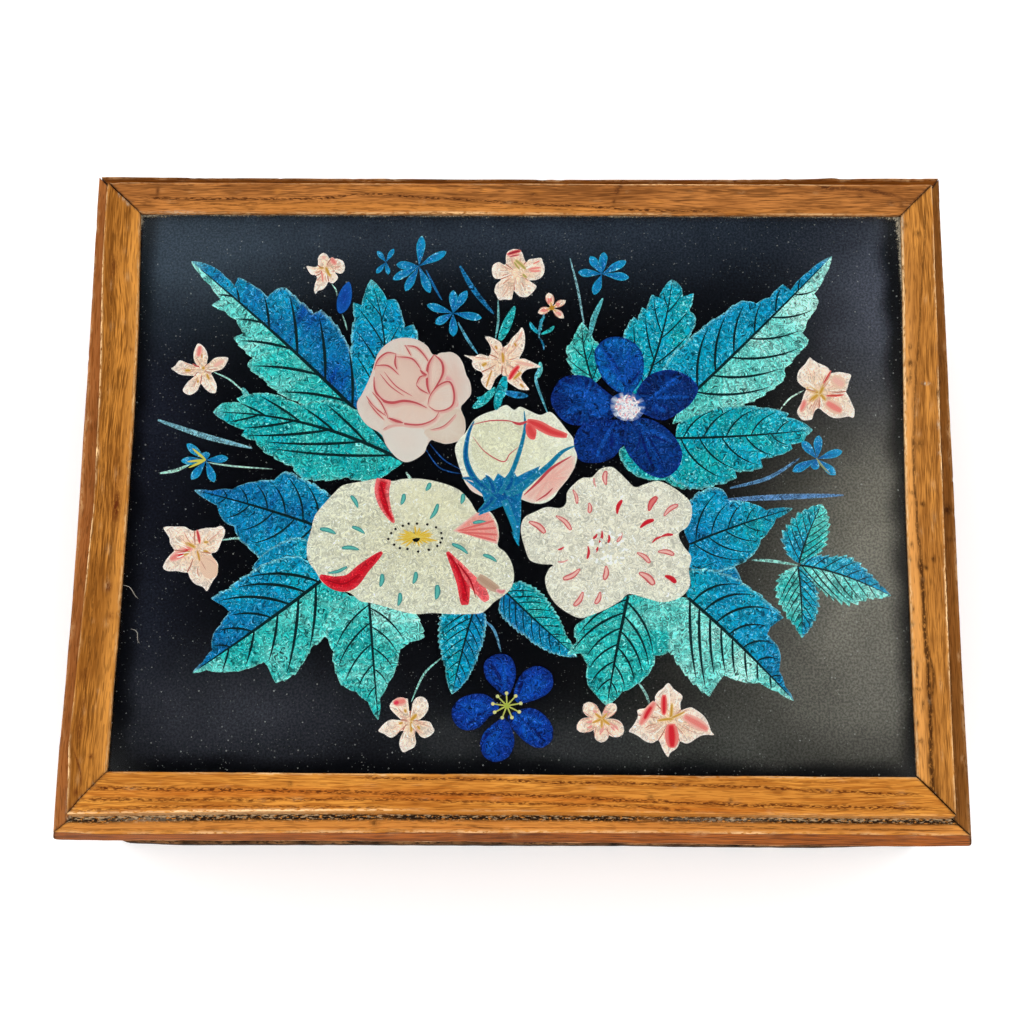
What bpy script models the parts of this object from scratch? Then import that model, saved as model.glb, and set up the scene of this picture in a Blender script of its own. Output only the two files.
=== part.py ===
"""Trinket box: a shallow oak box with mitred walls, under a lift-off lid.

The lid is a frame of stepped moulding around a pane of glass, a sheet of crumpled
foil and a closing board. Its skirt reaches down outside the walls and holds it in place.
Units are metres, +Z is up, and the origin is the centre of the underside.
"""

import math

import bmesh
import bpy

MM = 0.001

# Lid frame, seen from above
LEDGE_LENGTH = 300 * MM
LEDGE_DEPTH = 232 * MM
LEDGE_WIDTH = 5.8 * MM
BAND_WIDTH = 12.2 * MM

# Lid moulding, seen in section
BAND_CROWN = 0.4 * MM
BAND_ARRIS_RADIUS = 0.6 * MM
SIGHT_ARRIS_RADIUS = 0.9 * MM
COVE_RADIUS = 2.2 * MM
BEAD_WIDTH = 1.6 * MM
BEAD_RISE = 0.25 * MM
BEAD_DROP = 0.8 * MM
BEAD_UNDERCUT = 0.1 * MM
QUIRK_WIDTH = 0.5 * MM
QUIRK_DEPTH = 0.45 * MM
SKIRT_FLARE = 2.4 * MM
SKIRT_THICKNESS = 5.0 * MM
SKIRT_OVERLAP = 8.2 * MM
SKIRT_EDGE_RADIUS = 0.7 * MM
WOOD_OVER_WALL = 2.5 * MM

# What the lid frame holds
SIGHT_LIP = 2.2 * MM
REBATE_WIDTH = 5.0 * MM
GLASS_THICKNESS = 2.0 * MM
FOIL_THICKNESS = 0.8 * MM
LID_BOARD_THICKNESS = 6.0 * MM

# Box below the lid
WALL_HEIGHT = 70 * MM
WALL_THICKNESS = 9.0 * MM
WALL_EDGE_RADIUS = 0.6 * MM
BASE_THICKNESS = 8.0 * MM
BASE_OVERHANG = 1.5 * MM
BASE_EDGE_RADIUS = 1.4 * MM

# Clearances
TOUCH_GAP = 0.3 * MM
PANE_FIT = 0.5 * MM
SKIRT_FIT = 0.6 * MM

CROWN_STEPS = 8
ARC_STEPS = 5
SHARP_ANGLE = math.radians(32)

# Worked out from the sizes above
LID_LENGTH = LEDGE_LENGTH + 2 * SKIRT_FLARE
LID_DEPTH = LEDGE_DEPTH + 2 * SKIRT_FLARE
RAIL_WIDTH = SKIRT_FLARE + LEDGE_WIDTH + BAND_WIDTH
FILLING = SIGHT_LIP + GLASS_THICKNESS + FOIL_THICKNESS + LID_BOARD_THICKNESS + 3 * TOUCH_GAP
REBATE_LENGTH = LID_LENGTH - 2 * (RAIL_WIDTH - REBATE_WIDTH)
REBATE_DEPTH = LID_DEPTH - 2 * (RAIL_WIDTH - REBATE_WIDTH)
WALL_LENGTH = LID_LENGTH - 2 * (SKIRT_THICKNESS + SKIRT_FIT)
WALL_DEPTH = LID_DEPTH - 2 * (SKIRT_THICKNESS + SKIRT_FIT)
WALL_BOTTOM = BASE_THICKNESS + TOUCH_GAP
LID_SEAT = WALL_BOTTOM + WALL_HEIGHT + TOUCH_GAP


def clear_scene():
    for obj in list(bpy.data.objects):
        bpy.data.objects.remove(obj, do_unlink=True)


def make_material(name, colour, roughness, metallic=0.0, transmission=0.0):
    material = bpy.data.materials.new(name)
    material.use_nodes = True
    shader = material.node_tree.nodes["Principled BSDF"]
    shader.inputs["Base Color"].default_value = (*colour, 1.0)
    shader.inputs["Roughness"].default_value = roughness
    shader.inputs["Metallic"].default_value = metallic
    shader.inputs["Transmission Weight"].default_value = transmission
    return material


def rounded_outline(corners):
    """Closed outline through corners (across, height, radius), each rounded by its own radius."""
    points = []
    count = len(corners)
    for index, (across, height, radius) in enumerate(corners):
        if radius == 0:
            points.append((across, height))
            continue
        before = corners[index - 1]
        after = corners[(index + 1) % count]
        to_before = math.atan2(before[1] - height, before[0] - across)
        to_after = math.atan2(after[1] - height, after[0] - across)
        turn = (to_after - to_before + math.pi) % math.tau - math.pi
        middle = to_before + turn / 2
        half = abs(turn) / 2
        centre = (
            across + radius / math.sin(half) * math.cos(middle),
            height + radius / math.sin(half) * math.sin(middle),
        )
        sweep = (math.pi - abs(turn)) * math.copysign(1, turn)
        for step in range(ARC_STEPS + 1):
            angle = middle + math.pi - sweep / 2 + sweep * (1 - step / ARC_STEPS)
            points.append((centre[0] + radius * math.cos(angle), centre[1] + radius * math.sin(angle)))
    return points


def moulding_corners():
    """Section of the lid moulding, from the skirt's outer foot up and over to the rebate.

    Across is the distance in from the skirt's foot, height is above the lid's seat on the walls.
    """
    skirt_foot = -SKIRT_OVERLAP
    ledge = WOOD_OVER_WALL
    top = FILLING
    step = SKIRT_FLARE + LEDGE_WIDTH
    quirk = SKIRT_FLARE + BEAD_WIDTH
    cove = min(COVE_RADIUS, LEDGE_WIDTH - BEAD_WIDTH - QUIRK_WIDTH - TOUCH_GAP)
    shoulder = top - BAND_CROWN

    corners = [(0.0, skirt_foot, SKIRT_EDGE_RADIUS)]
    corners.append((SKIRT_FLARE + BEAD_UNDERCUT, ledge - BEAD_DROP, 0))
    for step_index in range(ARC_STEPS + 1):
        angle = math.pi * (1 - step_index / ARC_STEPS)
        across = SKIRT_FLARE + BEAD_WIDTH / 2 * (1 + math.cos(angle))
        corners.append((across, ledge + BEAD_RISE * math.sin(angle), 0))
    corners.append((quirk + QUIRK_WIDTH / 2, ledge - QUIRK_DEPTH, 0))
    corners.append((quirk + QUIRK_WIDTH, ledge, 0))
    corners.append((step, ledge, cove))
    corners.append((step, shoulder, BAND_ARRIS_RADIUS))
    for crown_index in range(1, CROWN_STEPS):
        share = crown_index / CROWN_STEPS
        inset = BAND_ARRIS_RADIUS + share * (BAND_WIDTH - BAND_ARRIS_RADIUS - SIGHT_ARRIS_RADIUS)
        corners.append((step + inset, shoulder + BAND_CROWN * math.sin(math.pi * share), 0))
    corners.append((RAIL_WIDTH, shoulder, SIGHT_ARRIS_RADIUS))
    corners.append((RAIL_WIDTH, top - SIGHT_LIP, 0))
    corners.append((RAIL_WIDTH - REBATE_WIDTH, top - SIGHT_LIP, 0))
    corners.append((RAIL_WIDTH - REBATE_WIDTH, 0.0, 0))
    corners.append((SKIRT_THICKNESS, 0.0, 0))
    corners.append((SKIRT_THICKNESS, skirt_foot, 0))
    return corners


def wall_corners():
    """Section of a box wall, with its top arrises eased."""
    return [
        (0.0, 0.0, 0),
        (0.0, WALL_HEIGHT, WALL_EDGE_RADIUS),
        (WALL_THICKNESS, WALL_HEIGHT, WALL_EDGE_RADIUS),
        (WALL_THICKNESS, 0.0, 0),
    ]


def mitred_bar(name, corners, length, material):
    """A bar along its own X with the outer foot of its section on the X axis, mitred at both ends."""
    outline = rounded_outline(corners)
    shape = bmesh.new()
    section = shape.faces.new([shape.verts.new((0.0, across, height)) for across, height in outline])
    extruded = bmesh.ops.extrude_face_region(shape, geom=[section])
    far_end = {item for item in extruded["geom"] if isinstance(item, bmesh.types.BMVert)}
    for vert in shape.verts:
        half = length / 2 - vert.co.y - TOUCH_GAP / math.sqrt(2)
        vert.co.x = half if vert in far_end else -half
    bmesh.ops.recalc_face_normals(shape, faces=shape.faces)
    mesh = bpy.data.meshes.new(name)
    shape.to_mesh(mesh)
    shape.free()
    mesh.shade_smooth()
    mesh.set_sharp_from_angle(angle=SHARP_ANGLE)
    mesh.materials.append(material)
    return bpy.data.objects.new(name, mesh)


def make_block(name, size, material):
    """A rectangular block that stands on its own origin, with its size applied to its mesh."""
    shape = bmesh.new()
    bmesh.ops.create_cube(shape, size=1.0)
    for vert in shape.verts:
        vert.co.x *= size[0]
        vert.co.y *= size[1]
        vert.co.z = (vert.co.z + 0.5) * size[2]
    mesh = bpy.data.meshes.new(name)
    shape.to_mesh(mesh)
    shape.free()
    mesh.materials.append(material)
    return bpy.data.objects.new(name, mesh)


def round_edges(obj, radius):
    bevel = obj.modifiers.new("rounded_edges", "BEVEL")
    bevel.width = radius
    bevel.segments = ARC_STEPS
    bevel.limit_method = "ANGLE"
    obj.data.shade_smooth()
    obj.data.set_sharp_from_angle(angle=SHARP_ANGLE)


def make_frame(prefix, corners, length, depth, material):
    """Four mitred bars, each with its outer foot on one side of a rectangle."""
    sides = (
        ("front", (0, -depth / 2), 0, length),
        ("right", (length / 2, 0), 90, depth),
        ("back", (0, depth / 2), 180, length),
        ("left", (-length / 2, 0), 270, depth),
    )
    bars = []
    for side, (x, y), turn, run in sides:
        bar = mitred_bar(f"{prefix}_{side}", corners, run, material)
        bar.location = (x, y, 0)
        bar.rotation_euler = (0, 0, math.radians(turn))
        bars.append(bar)
    return bars


def make_lid(materials):
    """The lid's pieces, with heights above its seat on the walls."""
    pieces = make_frame("lid_rail", moulding_corners(), LID_LENGTH, LID_DEPTH, materials["oak"])
    pane_length = REBATE_LENGTH - 2 * PANE_FIT
    pane_depth = REBATE_DEPTH - 2 * PANE_FIT
    height = FILLING - SIGHT_LIP
    layers = (
        ("picture_glass", GLASS_THICKNESS, "glass"),
        ("foil_sheet", FOIL_THICKNESS, "foil"),
        ("lid_board", LID_BOARD_THICKNESS, "board"),
    )
    for name, thickness, finish in layers:
        height -= TOUCH_GAP + thickness
        layer = make_block(name, (pane_length, pane_depth, thickness), materials[finish])
        layer.location.z = height
        pieces.append(layer)
    return pieces


def make_box(materials):
    """The walls and the base board below the lid."""
    walls = make_frame("box_wall", wall_corners(), WALL_LENGTH, WALL_DEPTH, materials["oak"])
    for wall in walls:
        wall.location.z = WALL_BOTTOM
    base_size = (WALL_LENGTH + 2 * BASE_OVERHANG, WALL_DEPTH + 2 * BASE_OVERHANG, BASE_THICKNESS)
    base = make_block("box_base_board", base_size, materials["oak"])
    round_edges(base, BASE_EDGE_RADIUS)
    return [*walls, base]


def main():
    clear_scene()
    materials = {
        "oak": make_material("varnished_oak", (0.42, 0.17, 0.045), 0.42),
        "glass": make_material("clear_glass", (1.0, 1.0, 1.0), 0.02, transmission=1.0),
        "foil": make_material("painted_foil", (0.05, 0.30, 0.40), 0.3, metallic=0.8),
        "board": make_material("bare_pine_board", (0.48, 0.32, 0.17), 0.75),
    }
    collection = bpy.data.collections.new("trinket_box")
    bpy.context.scene.collection.children.link(collection)

    lid_seat = bpy.data.objects.new("lid_seat", None)
    lid_seat.location.z = LID_SEAT
    collection.objects.link(lid_seat)
    for piece in make_lid(materials):
        collection.objects.link(piece)
        piece.parent = lid_seat
    for piece in make_box(materials):
        collection.objects.link(piece)


main()
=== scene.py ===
import math

import bpy
import numpy as np
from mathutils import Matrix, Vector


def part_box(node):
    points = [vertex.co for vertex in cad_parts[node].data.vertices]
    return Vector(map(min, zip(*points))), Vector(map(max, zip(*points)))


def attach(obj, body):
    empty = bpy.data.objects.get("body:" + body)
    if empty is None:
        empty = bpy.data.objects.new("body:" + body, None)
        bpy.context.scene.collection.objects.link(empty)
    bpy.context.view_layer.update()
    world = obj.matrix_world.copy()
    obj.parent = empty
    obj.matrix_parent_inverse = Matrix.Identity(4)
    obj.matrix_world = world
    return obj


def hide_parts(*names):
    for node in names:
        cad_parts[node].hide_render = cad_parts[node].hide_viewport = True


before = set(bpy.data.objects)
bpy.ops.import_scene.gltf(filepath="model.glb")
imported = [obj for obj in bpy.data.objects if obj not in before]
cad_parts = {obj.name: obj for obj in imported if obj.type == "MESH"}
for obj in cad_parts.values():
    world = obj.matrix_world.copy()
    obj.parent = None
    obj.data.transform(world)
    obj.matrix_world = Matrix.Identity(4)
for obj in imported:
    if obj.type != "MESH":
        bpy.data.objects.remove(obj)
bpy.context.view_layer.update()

mm = 0.001
print("frame loaded,", len(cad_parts), "solids")


# Node helpers: each adds one node and gives back its output socket.

def feed(tree, socket, value):
    if isinstance(value, bpy.types.NodeSocket):
        tree.links.new(value, socket)
    else:
        socket.default_value = value


def addNode(tree, kind, inputs=None, **settings):
    node = tree.nodes.new(kind)
    for key, value in settings.items():
        setattr(node, key, value)
    for key, value in (inputs or {}).items():
        feed(tree, node.inputs[key], value)
    return node


def calc(tree, operation, first, second=0.0, clamp=False):
    inputs = {0: first, 1: second}
    return addNode(tree, "ShaderNodeMath", inputs, operation=operation, use_clamp=clamp).outputs[0]


def times(tree, first, second, clamp=False):
    return calc(tree, "MULTIPLY", first, second, clamp)


def vectorCalc(tree, operation, first, second, output="Vector"):
    node = addNode(tree, "ShaderNodeVectorMath", {0: first, 1: second}, operation=operation)
    return node.outputs[output]


def brightened(tree, colour, factor):
    # every channel times the factor
    return addNode(tree, "ShaderNodeVectorMath", {0: colour, "Scale": factor}, operation="SCALE").outputs[0]


def mixColour(tree, factor, first, second, blend="MIX"):
    inputs = {0: factor, 6: first, 7: second}
    return addNode(tree, "ShaderNodeMix", inputs, data_type="RGBA", blend_type=blend).outputs[2]


def mapRange(tree, value, low, high, toLow=0.0, toHigh=1.0):
    inputs = {"Value": value, "From Min": low, "From Max": high, "To Min": toLow, "To Max": toHigh}
    return addNode(tree, "ShaderNodeMapRange", inputs, interpolation_type="SMOOTHSTEP").outputs[0]


def scaled(tree, vector, scale):
    return addNode(tree, "ShaderNodeMapping", {"Vector": vector, "Scale": scale}).outputs[0]


def inMillimetres(tree):
    # the piece's own coordinates, in millimetres
    return scaled(tree, tree.nodes.new("ShaderNodeTexCoord").outputs["Object"], (1000, 1000, 1000))


def noise(tree, vector, scale, detail=3.0, roughness=0.55, flat=False):
    inputs = {"Vector": vector, "Scale": scale, "Detail": detail, "Roughness": roughness}
    return addNode(tree, "ShaderNodeTexNoise", inputs, noise_dimensions="2D" if flat else "3D").outputs[0]


def cells(tree, vector, scale):
    # flat cells, the same at every height
    return addNode(
        tree, "ShaderNodeTexVoronoi", {"Vector": vector, "Scale": scale}, voronoi_dimensions="2D"
    )


def field(tree, name):
    # a value that the points of the surface carry
    return addNode(tree, "ShaderNodeAttribute", attribute_name=name).outputs["Fac"]


def screenTones(colours):
    # colours written as 0 to 255 screen values, turned to linear light
    share = np.asarray(colours, float) / 255
    return np.where(share <= 0.04045, share / 12.92, ((share + 0.055) / 1.055) ** 2.4)


def toScreen(light):
    # linear light turned back to 0 to 255 screen values
    return np.where(light <= 0.0031308, light * 12.92, 1.055 * light ** (1 / 2.4) - 0.055) * 255


def tone(colour):
    # the same for one colour, as a colour socket takes it
    return (*screenTones(colour).tolist(), 1.0)


def newGroup(name, inputs, outputs):
    tree = bpy.data.node_groups.new(name, "ShaderNodeTree")
    for label, value in inputs.items():
        kind = "NodeSocketVector" if value is None else "NodeSocketFloat"
        socket = tree.interface.new_socket(label, in_out="INPUT", socket_type=kind)
        if value is not None:
            socket.default_value = value
    for label in outputs:
        tree.interface.new_socket(label, in_out="OUTPUT", socket_type="NodeSocketFloat")
    return tree, tree.nodes.new("NodeGroupInput").outputs, tree.nodes.new("NodeGroupOutput").inputs


def useGroup(tree, group, **inputs):
    node = tree.nodes.new("ShaderNodeGroup")
    node.node_tree = group
    for key, value in inputs.items():
        feed(tree, node.inputs[key], value)
    return node.outputs


def newMaterial(name, roughness=0.5, metallic=0.0):
    material = bpy.data.materials.new(name)
    material.use_nodes = True
    shader = material.node_tree.nodes["Principled BSDF"]
    shader.inputs["Roughness"].default_value = roughness
    shader.inputs["Metallic"].default_value = metallic
    return material, material.node_tree, shader.inputs


# Shared effects

def makeOakGroup():
    # the vector is in millimetres: along the grain, across it, and into it; a slow noise bends it, and three
    # noises drawn out along the grain add up to the fibre
    outputs = ["Fibre", "Pores", "Blotch", "Height"]
    tree, given, out = newGroup("oakFigure", {"Vector": None, "Seed": 0.0}, outputs)

    def streaks(length, width, detail=0.0, roughness=0.55):
        return noise(tree, scaled(tree, place, (length, width, width)), 1.0, detail, roughness)

    shift = addNode(tree, "ShaderNodeCombineXYZ", {0: times(tree, given["Seed"], 37.0), 2: given["Seed"]})
    place = vectorCalc(tree, "ADD", given["Vector"], shift.outputs[0])
    bend = addNode(tree, "ShaderNodeCombineXYZ", {1: times(tree, streaks(0.02, 0.06, 1.0), 5.0)})
    place = vectorCalc(tree, "ADD", place, bend.outputs[0])
    broad = streaks(0.02, 0.4, 1.0, 0.6)
    fine = streaks(0.07, 1.2, 1.0, 0.65)
    hair = streaks(0.14, 3.9)
    fibre = calc(tree, "ADD", times(tree, broad, 0.25), times(tree, fine, 0.35))
    fibre = calc(tree, "ADD", fibre, times(tree, hair, 0.4))
    pores = mapRange(tree, streaks(0.26, 2.8), 0.6, 0.72)
    feed(tree, out["Fibre"], mapRange(tree, fibre, 0.41, 0.58))
    feed(tree, out["Pores"], pores)
    feed(tree, out["Blotch"], streaks(0.03, 0.11, 1.0, 0.6))
    feed(tree, out["Height"], calc(tree, "SUBTRACT", times(tree, hair, 0.5), times(tree, pores, 0.5)))
    return tree


def makeSpeckGroup():
    # tiny round specks: the few cells whose own random number passes the share, near their centres
    tree, given, out = newGroup("dustSpecks", {"Vector": None, "Share": 0.1, "Radius": 0.2}, ["Specks"])
    grains = cells(tree, given["Vector"], 1.0)
    own = addNode(tree, "ShaderNodeSeparateColor", {0: grains.outputs["Color"]}).outputs
    near = calc(tree, "LESS_THAN", grains.outputs["Distance"], times(tree, given["Radius"], own[1]))
    chosen = calc(tree, "LESS_THAN", own[0], given["Share"])
    feed(tree, out["Specks"], times(tree, times(tree, near, chosen), own[2]))
    return tree


def makeFoilGroup():
    # the vector is in millimetres and bent by a slow noise; each flat cell has its own brightness, a painted
    # light and shade of the foil's facets, fine noise wrinkles it, and the painted glints are short lengths
    # of the lines where another noise passes its middle value
    tree, given, out = newGroup("crumpledFoil", {"Vector": None}, ["Facets", "Glints", "Height"])
    slow = {"Vector": given["Vector"], "Scale": 0.5, "Detail": 0.0}
    wander = addNode(tree, "ShaderNodeTexNoise", slow, noise_dimensions="2D").outputs["Color"]
    place = vectorCalc(tree, "ADD", given["Vector"], vectorCalc(tree, "MULTIPLY", wander, (4.0, 4.0, 0.0)))
    facet = cells(tree, place, 1.0)
    own = addNode(tree, "ShaderNodeSeparateColor", {0: facet.outputs["Color"]}).outputs[0]
    wrinkle = mapRange(tree, noise(tree, place, 1.2, 2.0, 0.6, True), 0.32, 0.68)
    facets = calc(tree, "ADD", times(tree, own, 0.45), times(tree, wrinkle, 0.55))
    middle = calc(tree, "SUBTRACT", noise(tree, place, 0.62, 0.0, 0.5, True), 0.5)
    crest = mapRange(tree, calc(tree, "ABSOLUTE", middle), 0.05, 0.015)
    broken = mapRange(tree, noise(tree, given["Vector"], 0.9, 0.0, 0.5, True), 0.47, 0.54)
    feed(tree, out["Facets"], facets)
    feed(tree, out["Glints"], times(tree, times(tree, crest, broken), mapRange(tree, facets, 0.25, 0.6)))
    feed(tree, out["Height"], calc(tree, "ADD", own, times(tree, facet.outputs["Distance"], 0.4)))
    return tree


oakGroup = makeOakGroup()
speckGroup = makeSpeckGroup()
foilGroup = makeFoilGroup()


# Mesh helpers: every surface is worked out as whole arrays

def asPoints(row):
    # an array of points from places written in a row as x, y, x, y, or from points as they are
    return np.reshape(row, (-1, 2)).astype(float)


def readOff(row, place):
    # the value at each place, evenly between those of a row of place, value, place, value
    return np.interp(place, *asPoints(row).T)


def bell(first, second=0.0):
    # 1 where both are 0, falling as a bell of the sum of their squares
    return np.exp(-(first ** 2) - second ** 2)


def smoothStep(low, high, value):
    # 0 up to low and 1 from high on, with a smooth rise between them
    share = np.clip((value - low) / (high - low), 0, 1)
    return share * share * (3 - 2 * share)


def ripple(along, across, seed, length, width, waves=7):
    # sum of cosine waves with seeded directions and phases, scaled to about -1 to 1
    draw = np.random.default_rng(round(seed * 100))
    total = 0.0
    for _ in range(waves):
        angle = draw.uniform(0, math.tau)
        stretch = draw.uniform(0.5, 2.0)
        phase = draw.uniform(0, math.tau)
        turns = stretch * (along / length * math.cos(angle) + across / width * math.sin(angle))
        total = total + np.cos(math.tau * turns + phase)
    return total / math.sqrt(waves * 2)


def gridFaces(rows, columns, closed=False):
    # the four corners round each cell of a grid; closed joins the last column to the first
    index = np.arange(rows * columns).reshape(rows, columns)
    if closed:
        index = np.hstack([index, index[:, :1]])
    return np.stack(
        [index[:-1, :-1], index[:-1, 1:], index[1:, 1:], index[1:, :-1]], axis=-1
    ).reshape(-1, 4)


def makePiece(name, points, quads, material, caps=(), fields=None, colour=None, uv=None, creases=True):
    # a mesh of four-cornered faces and end caps, with the values, colour and grain map of its points
    mesh = bpy.data.meshes.new(name)
    loops = np.concatenate(
        [np.asarray(quads).reshape(-1), *[np.asarray(cap) for cap in caps]]
    ).astype(np.int32)
    sizes = np.concatenate([np.full(len(quads), 4), [len(cap) for cap in caps]]).astype(np.int32)
    mesh.vertices.add(len(points))
    mesh.vertices.foreach_set("co", np.asarray(points, np.float32).reshape(-1))
    mesh.loops.add(len(loops))
    mesh.loops.foreach_set("vertex_index", loops)
    mesh.polygons.add(len(sizes))
    starts = np.concatenate([[0], np.cumsum(sizes)[:-1]]).astype(np.int32)
    mesh.polygons.foreach_set("loop_start", starts)
    mesh.update(calc_edges=True)
    for label, values in (fields or {}).items():
        layer = mesh.attributes.new(label, "FLOAT", "POINT")
        layer.data.foreach_set("value", np.asarray(values, np.float32).reshape(-1))
    if colour is not None:
        layer = mesh.color_attributes.new("paint", "FLOAT_COLOR", "POINT")
        layer.data.foreach_set("color", np.asarray(colour, np.float32).reshape(-1))
    if uv is not None:
        layer = mesh.uv_layers.new(name="grainMap")
        layer.data.foreach_set("uv", np.asarray(uv, np.float32)[loops].reshape(-1))
    mesh.validate()
    mesh.shade_smooth()
    if creases:
        mesh.set_sharp_from_angle(angle=math.radians(40))
    mesh.materials.append(material)
    piece = bpy.data.objects.new(name, mesh)
    bpy.context.scene.collection.objects.link(piece)
    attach(piece, "root")
    return piece


# Oak

oakDirtAndShade = {"grimeAndShade": (38, 26, 17), "debris": (168, 142, 108), "scuff": (186, 166, 140)}


def makeOak(name, look, coordinates="UV"):
    # the oak's own figure, then the marks painted on the points of the surface, broken up by the grain
    material, tree, shader = newMaterial(name, look["roughness"])
    shader["Specular IOR Level"].default_value = 0.01
    if coordinates == "Object":
        source = inMillimetres(tree)
    else:
        source = tree.nodes.new("ShaderNodeTexCoord").outputs[coordinates]
    figure = useGroup(tree, oakGroup, Vector=source, Seed=look["seed"])

    def laidOver(share, key):
        return mixColour(tree, share, colour, tone(look[key]))

    def crumbs(length, width, detail, roughness):
        return noise(tree, scaled(tree, source, (length, width, 1)), 1.0, detail, roughness, True)

    def marked(label, breaks):
        return times(tree, field(tree, label), breaks, True)

    colour = mixColour(tree, figure["Fibre"], tone(look["dark"]), tone(look["light"]))
    warm = mapRange(tree, figure["Blotch"], 0.35, 0.65)
    colour = mixColour(tree, warm, laidOver(look["blotch"], "shade"), colour)
    poreDepth = times(tree, figure["Pores"], look["pores"])
    if coordinates == "UV":
        crumb = crumbs(0.6, 1.5, 2.0, 0.65)
        colour = laidOver(times(tree, field(tree, "redden"), look["redMix"]), "red")
        skirt = mixColour(tree, figure["Fibre"], tone(look["skirtDark"]), tone(look["skirtLight"]))
        colour = mixColour(tree, field(tree, "skirt"), colour, skirt)
        # the ledge is painted lighter on the front rail and darker on the others: painted light and shade by
        # side
        colour = laidOver(times(tree, field(tree, "ledge"), 0.55), "ledgeLightAndShade")
        dashes = mapRange(tree, crumbs(0.55, 2.6, 1.0, 0.55), 0.46, 0.54)
        colour = laidOver(marked("rings", calc(tree, "ADD", times(tree, dashes, 0.8), 0.2)), "ring")
        colour = laidOver(poreDepth, "ring")
        colour = laidOver(marked("stain", mapRange(tree, crumb, 0.34, 0.5, 0.35, 0.92)), "stain")
        # the arrises are painted in the paler bare tone: wear, and a painted highlight
        colour = laidOver(marked("wearAndHighlight", mapRange(tree, crumbs(0.4, 1.2, 2.0, 0.7), 0.34, 0.54)), "bareAndHighlight")
        # the cove, the step's face and the lip darken towards the grime tone: dirt, and painted shade
        dirtAndShade = marked("grimeAndShade", mapRange(tree, crumb, 0.28, 0.44))
        flecks = calc(tree, "ADD", crumbs(0.45, 1.5, 2.0, 0.7), times(tree, field(tree, "debris"), 0.22))
        flecks = mapRange(tree, flecks, 0.55, 0.72)
        grimeAndShade = mixColour(tree, flecks, tone(oakDirtAndShade["grimeAndShade"]), tone(oakDirtAndShade["debris"]))
        colour = mixColour(tree, dirtAndShade, colour, grimeAndShade)
        scuff = marked("scuff", mapRange(tree, crumb, 0.42, 0.54))
        colour = mixColour(tree, scuff, colour, tone(oakDirtAndShade["scuff"]))
        feed(tree, shader["Roughness"], calc(tree, "ADD", times(tree, dirtAndShade, 0.35), look["roughness"]))
    else:
        colour = laidOver(poreDepth, "ring")
    feed(tree, shader["Base Color"], colour)
    relief = {"Strength": look["bump"], "Distance": 0.25 * mm, "Height": figure["Height"]}
    feed(tree, shader["Normal"], addNode(tree, "ShaderNodeBump", relief).outputs[0])
    return material


def roundedPath(corners, arcSteps=6):
    # straight runs between corners (across, height, radius), with each corner turned on an arc of its radius
    path = []
    for index, (across, height, radius) in enumerate(corners):
        here = np.array([across, height])
        if radius == 0:
            path.append(here)
            continue
        back = np.array(corners[index - 1][:2]) - here
        ahead = np.array(corners[(index + 1) % len(corners)][:2]) - here
        back, ahead = back / np.linalg.norm(back), ahead / np.linalg.norm(ahead)
        half = math.acos(float(np.clip(back @ ahead, -1, 1))) / 2
        centre = here + (back + ahead) / np.linalg.norm(back + ahead) * radius / math.sin(half)
        first = here + back * radius / math.tan(half) - centre
        last = here + ahead * radius / math.tan(half) - centre
        sweep = math.pi - 2 * half
        for share in np.linspace(0, 1, arcSteps + 1):
            early, late = (math.sin(part * sweep) / math.sin(sweep) for part in (1 - share, share))
            path.append(centre + first * early + last * late)
    return np.array(path)


def finePath(path, spacing):
    # every run of a closed path is cut into equal steps no longer than its spacing
    following = np.roll(path, -1, axis=0)
    pieces = []
    for start, end in zip(path, following):
        steps = max(1, math.ceil(np.linalg.norm(end - start) / spacing((start + end) / 2)))
        pieces.append(start + (end - start) * (np.arange(steps) / steps)[:, None])
    return np.concatenate(pieces)


def pathNormals(path):
    # the outward side of a closed path that runs clockwise, seen with across to the right and height up
    along = np.roll(path, -1, axis=0) - np.roll(path, 1, axis=0)
    normals = np.stack([-along[:, 1], along[:, 0]], axis=1)
    return normals / np.linalg.norm(normals, axis=1, keepdims=True)


def nearness(path, places, width):
    # 1 on any of the places of the section, falling to 0 over the width
    gaps = np.linalg.norm(path[:, None, :] - np.array(places)[None, :, :], axis=2)
    return bell(gaps.min(axis=1) / width)


sideTurns = {"front": 0, "right": 1, "back": 2, "left": 3}


def turned(side, along, outward, height):
    # the front bar runs along +X and faces -Y; the others are it turned by quarter turns
    x, y = along, -outward
    for _ in range(sideTurns[side]):
        x, y = -y, x
    return np.stack([x, y, height], axis=-1)


mouldingLook = {
    "ledge": 5.8, "band": 12.2, "crown": 0.4, "bandArris": 0.8, "sightArris": 1.1, "cove": 2.2,
    "beadWidth": 1.6, "beadRise": 0.25, "flare": 2.4, "skirt": 5.0, "woodOverWall": 2.5, "sightLip": 2.2,
    "rebate": 5.0, "mitreGap": 0.08, "step": 0.62, "fineSpacing": 0.42, "hiddenSpacing": 3.0
}


def boxOf(node):
    # the lowest and highest corner of a CAD node, in millimetres
    return [np.array(corner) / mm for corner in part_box(node)]


def outerOf(prefix):
    # how far the left and the front bar stand out from the middle
    return np.array([-boxOf(prefix + "_left")[0][0], -boxOf(prefix + "_front")[0][1]])


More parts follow.
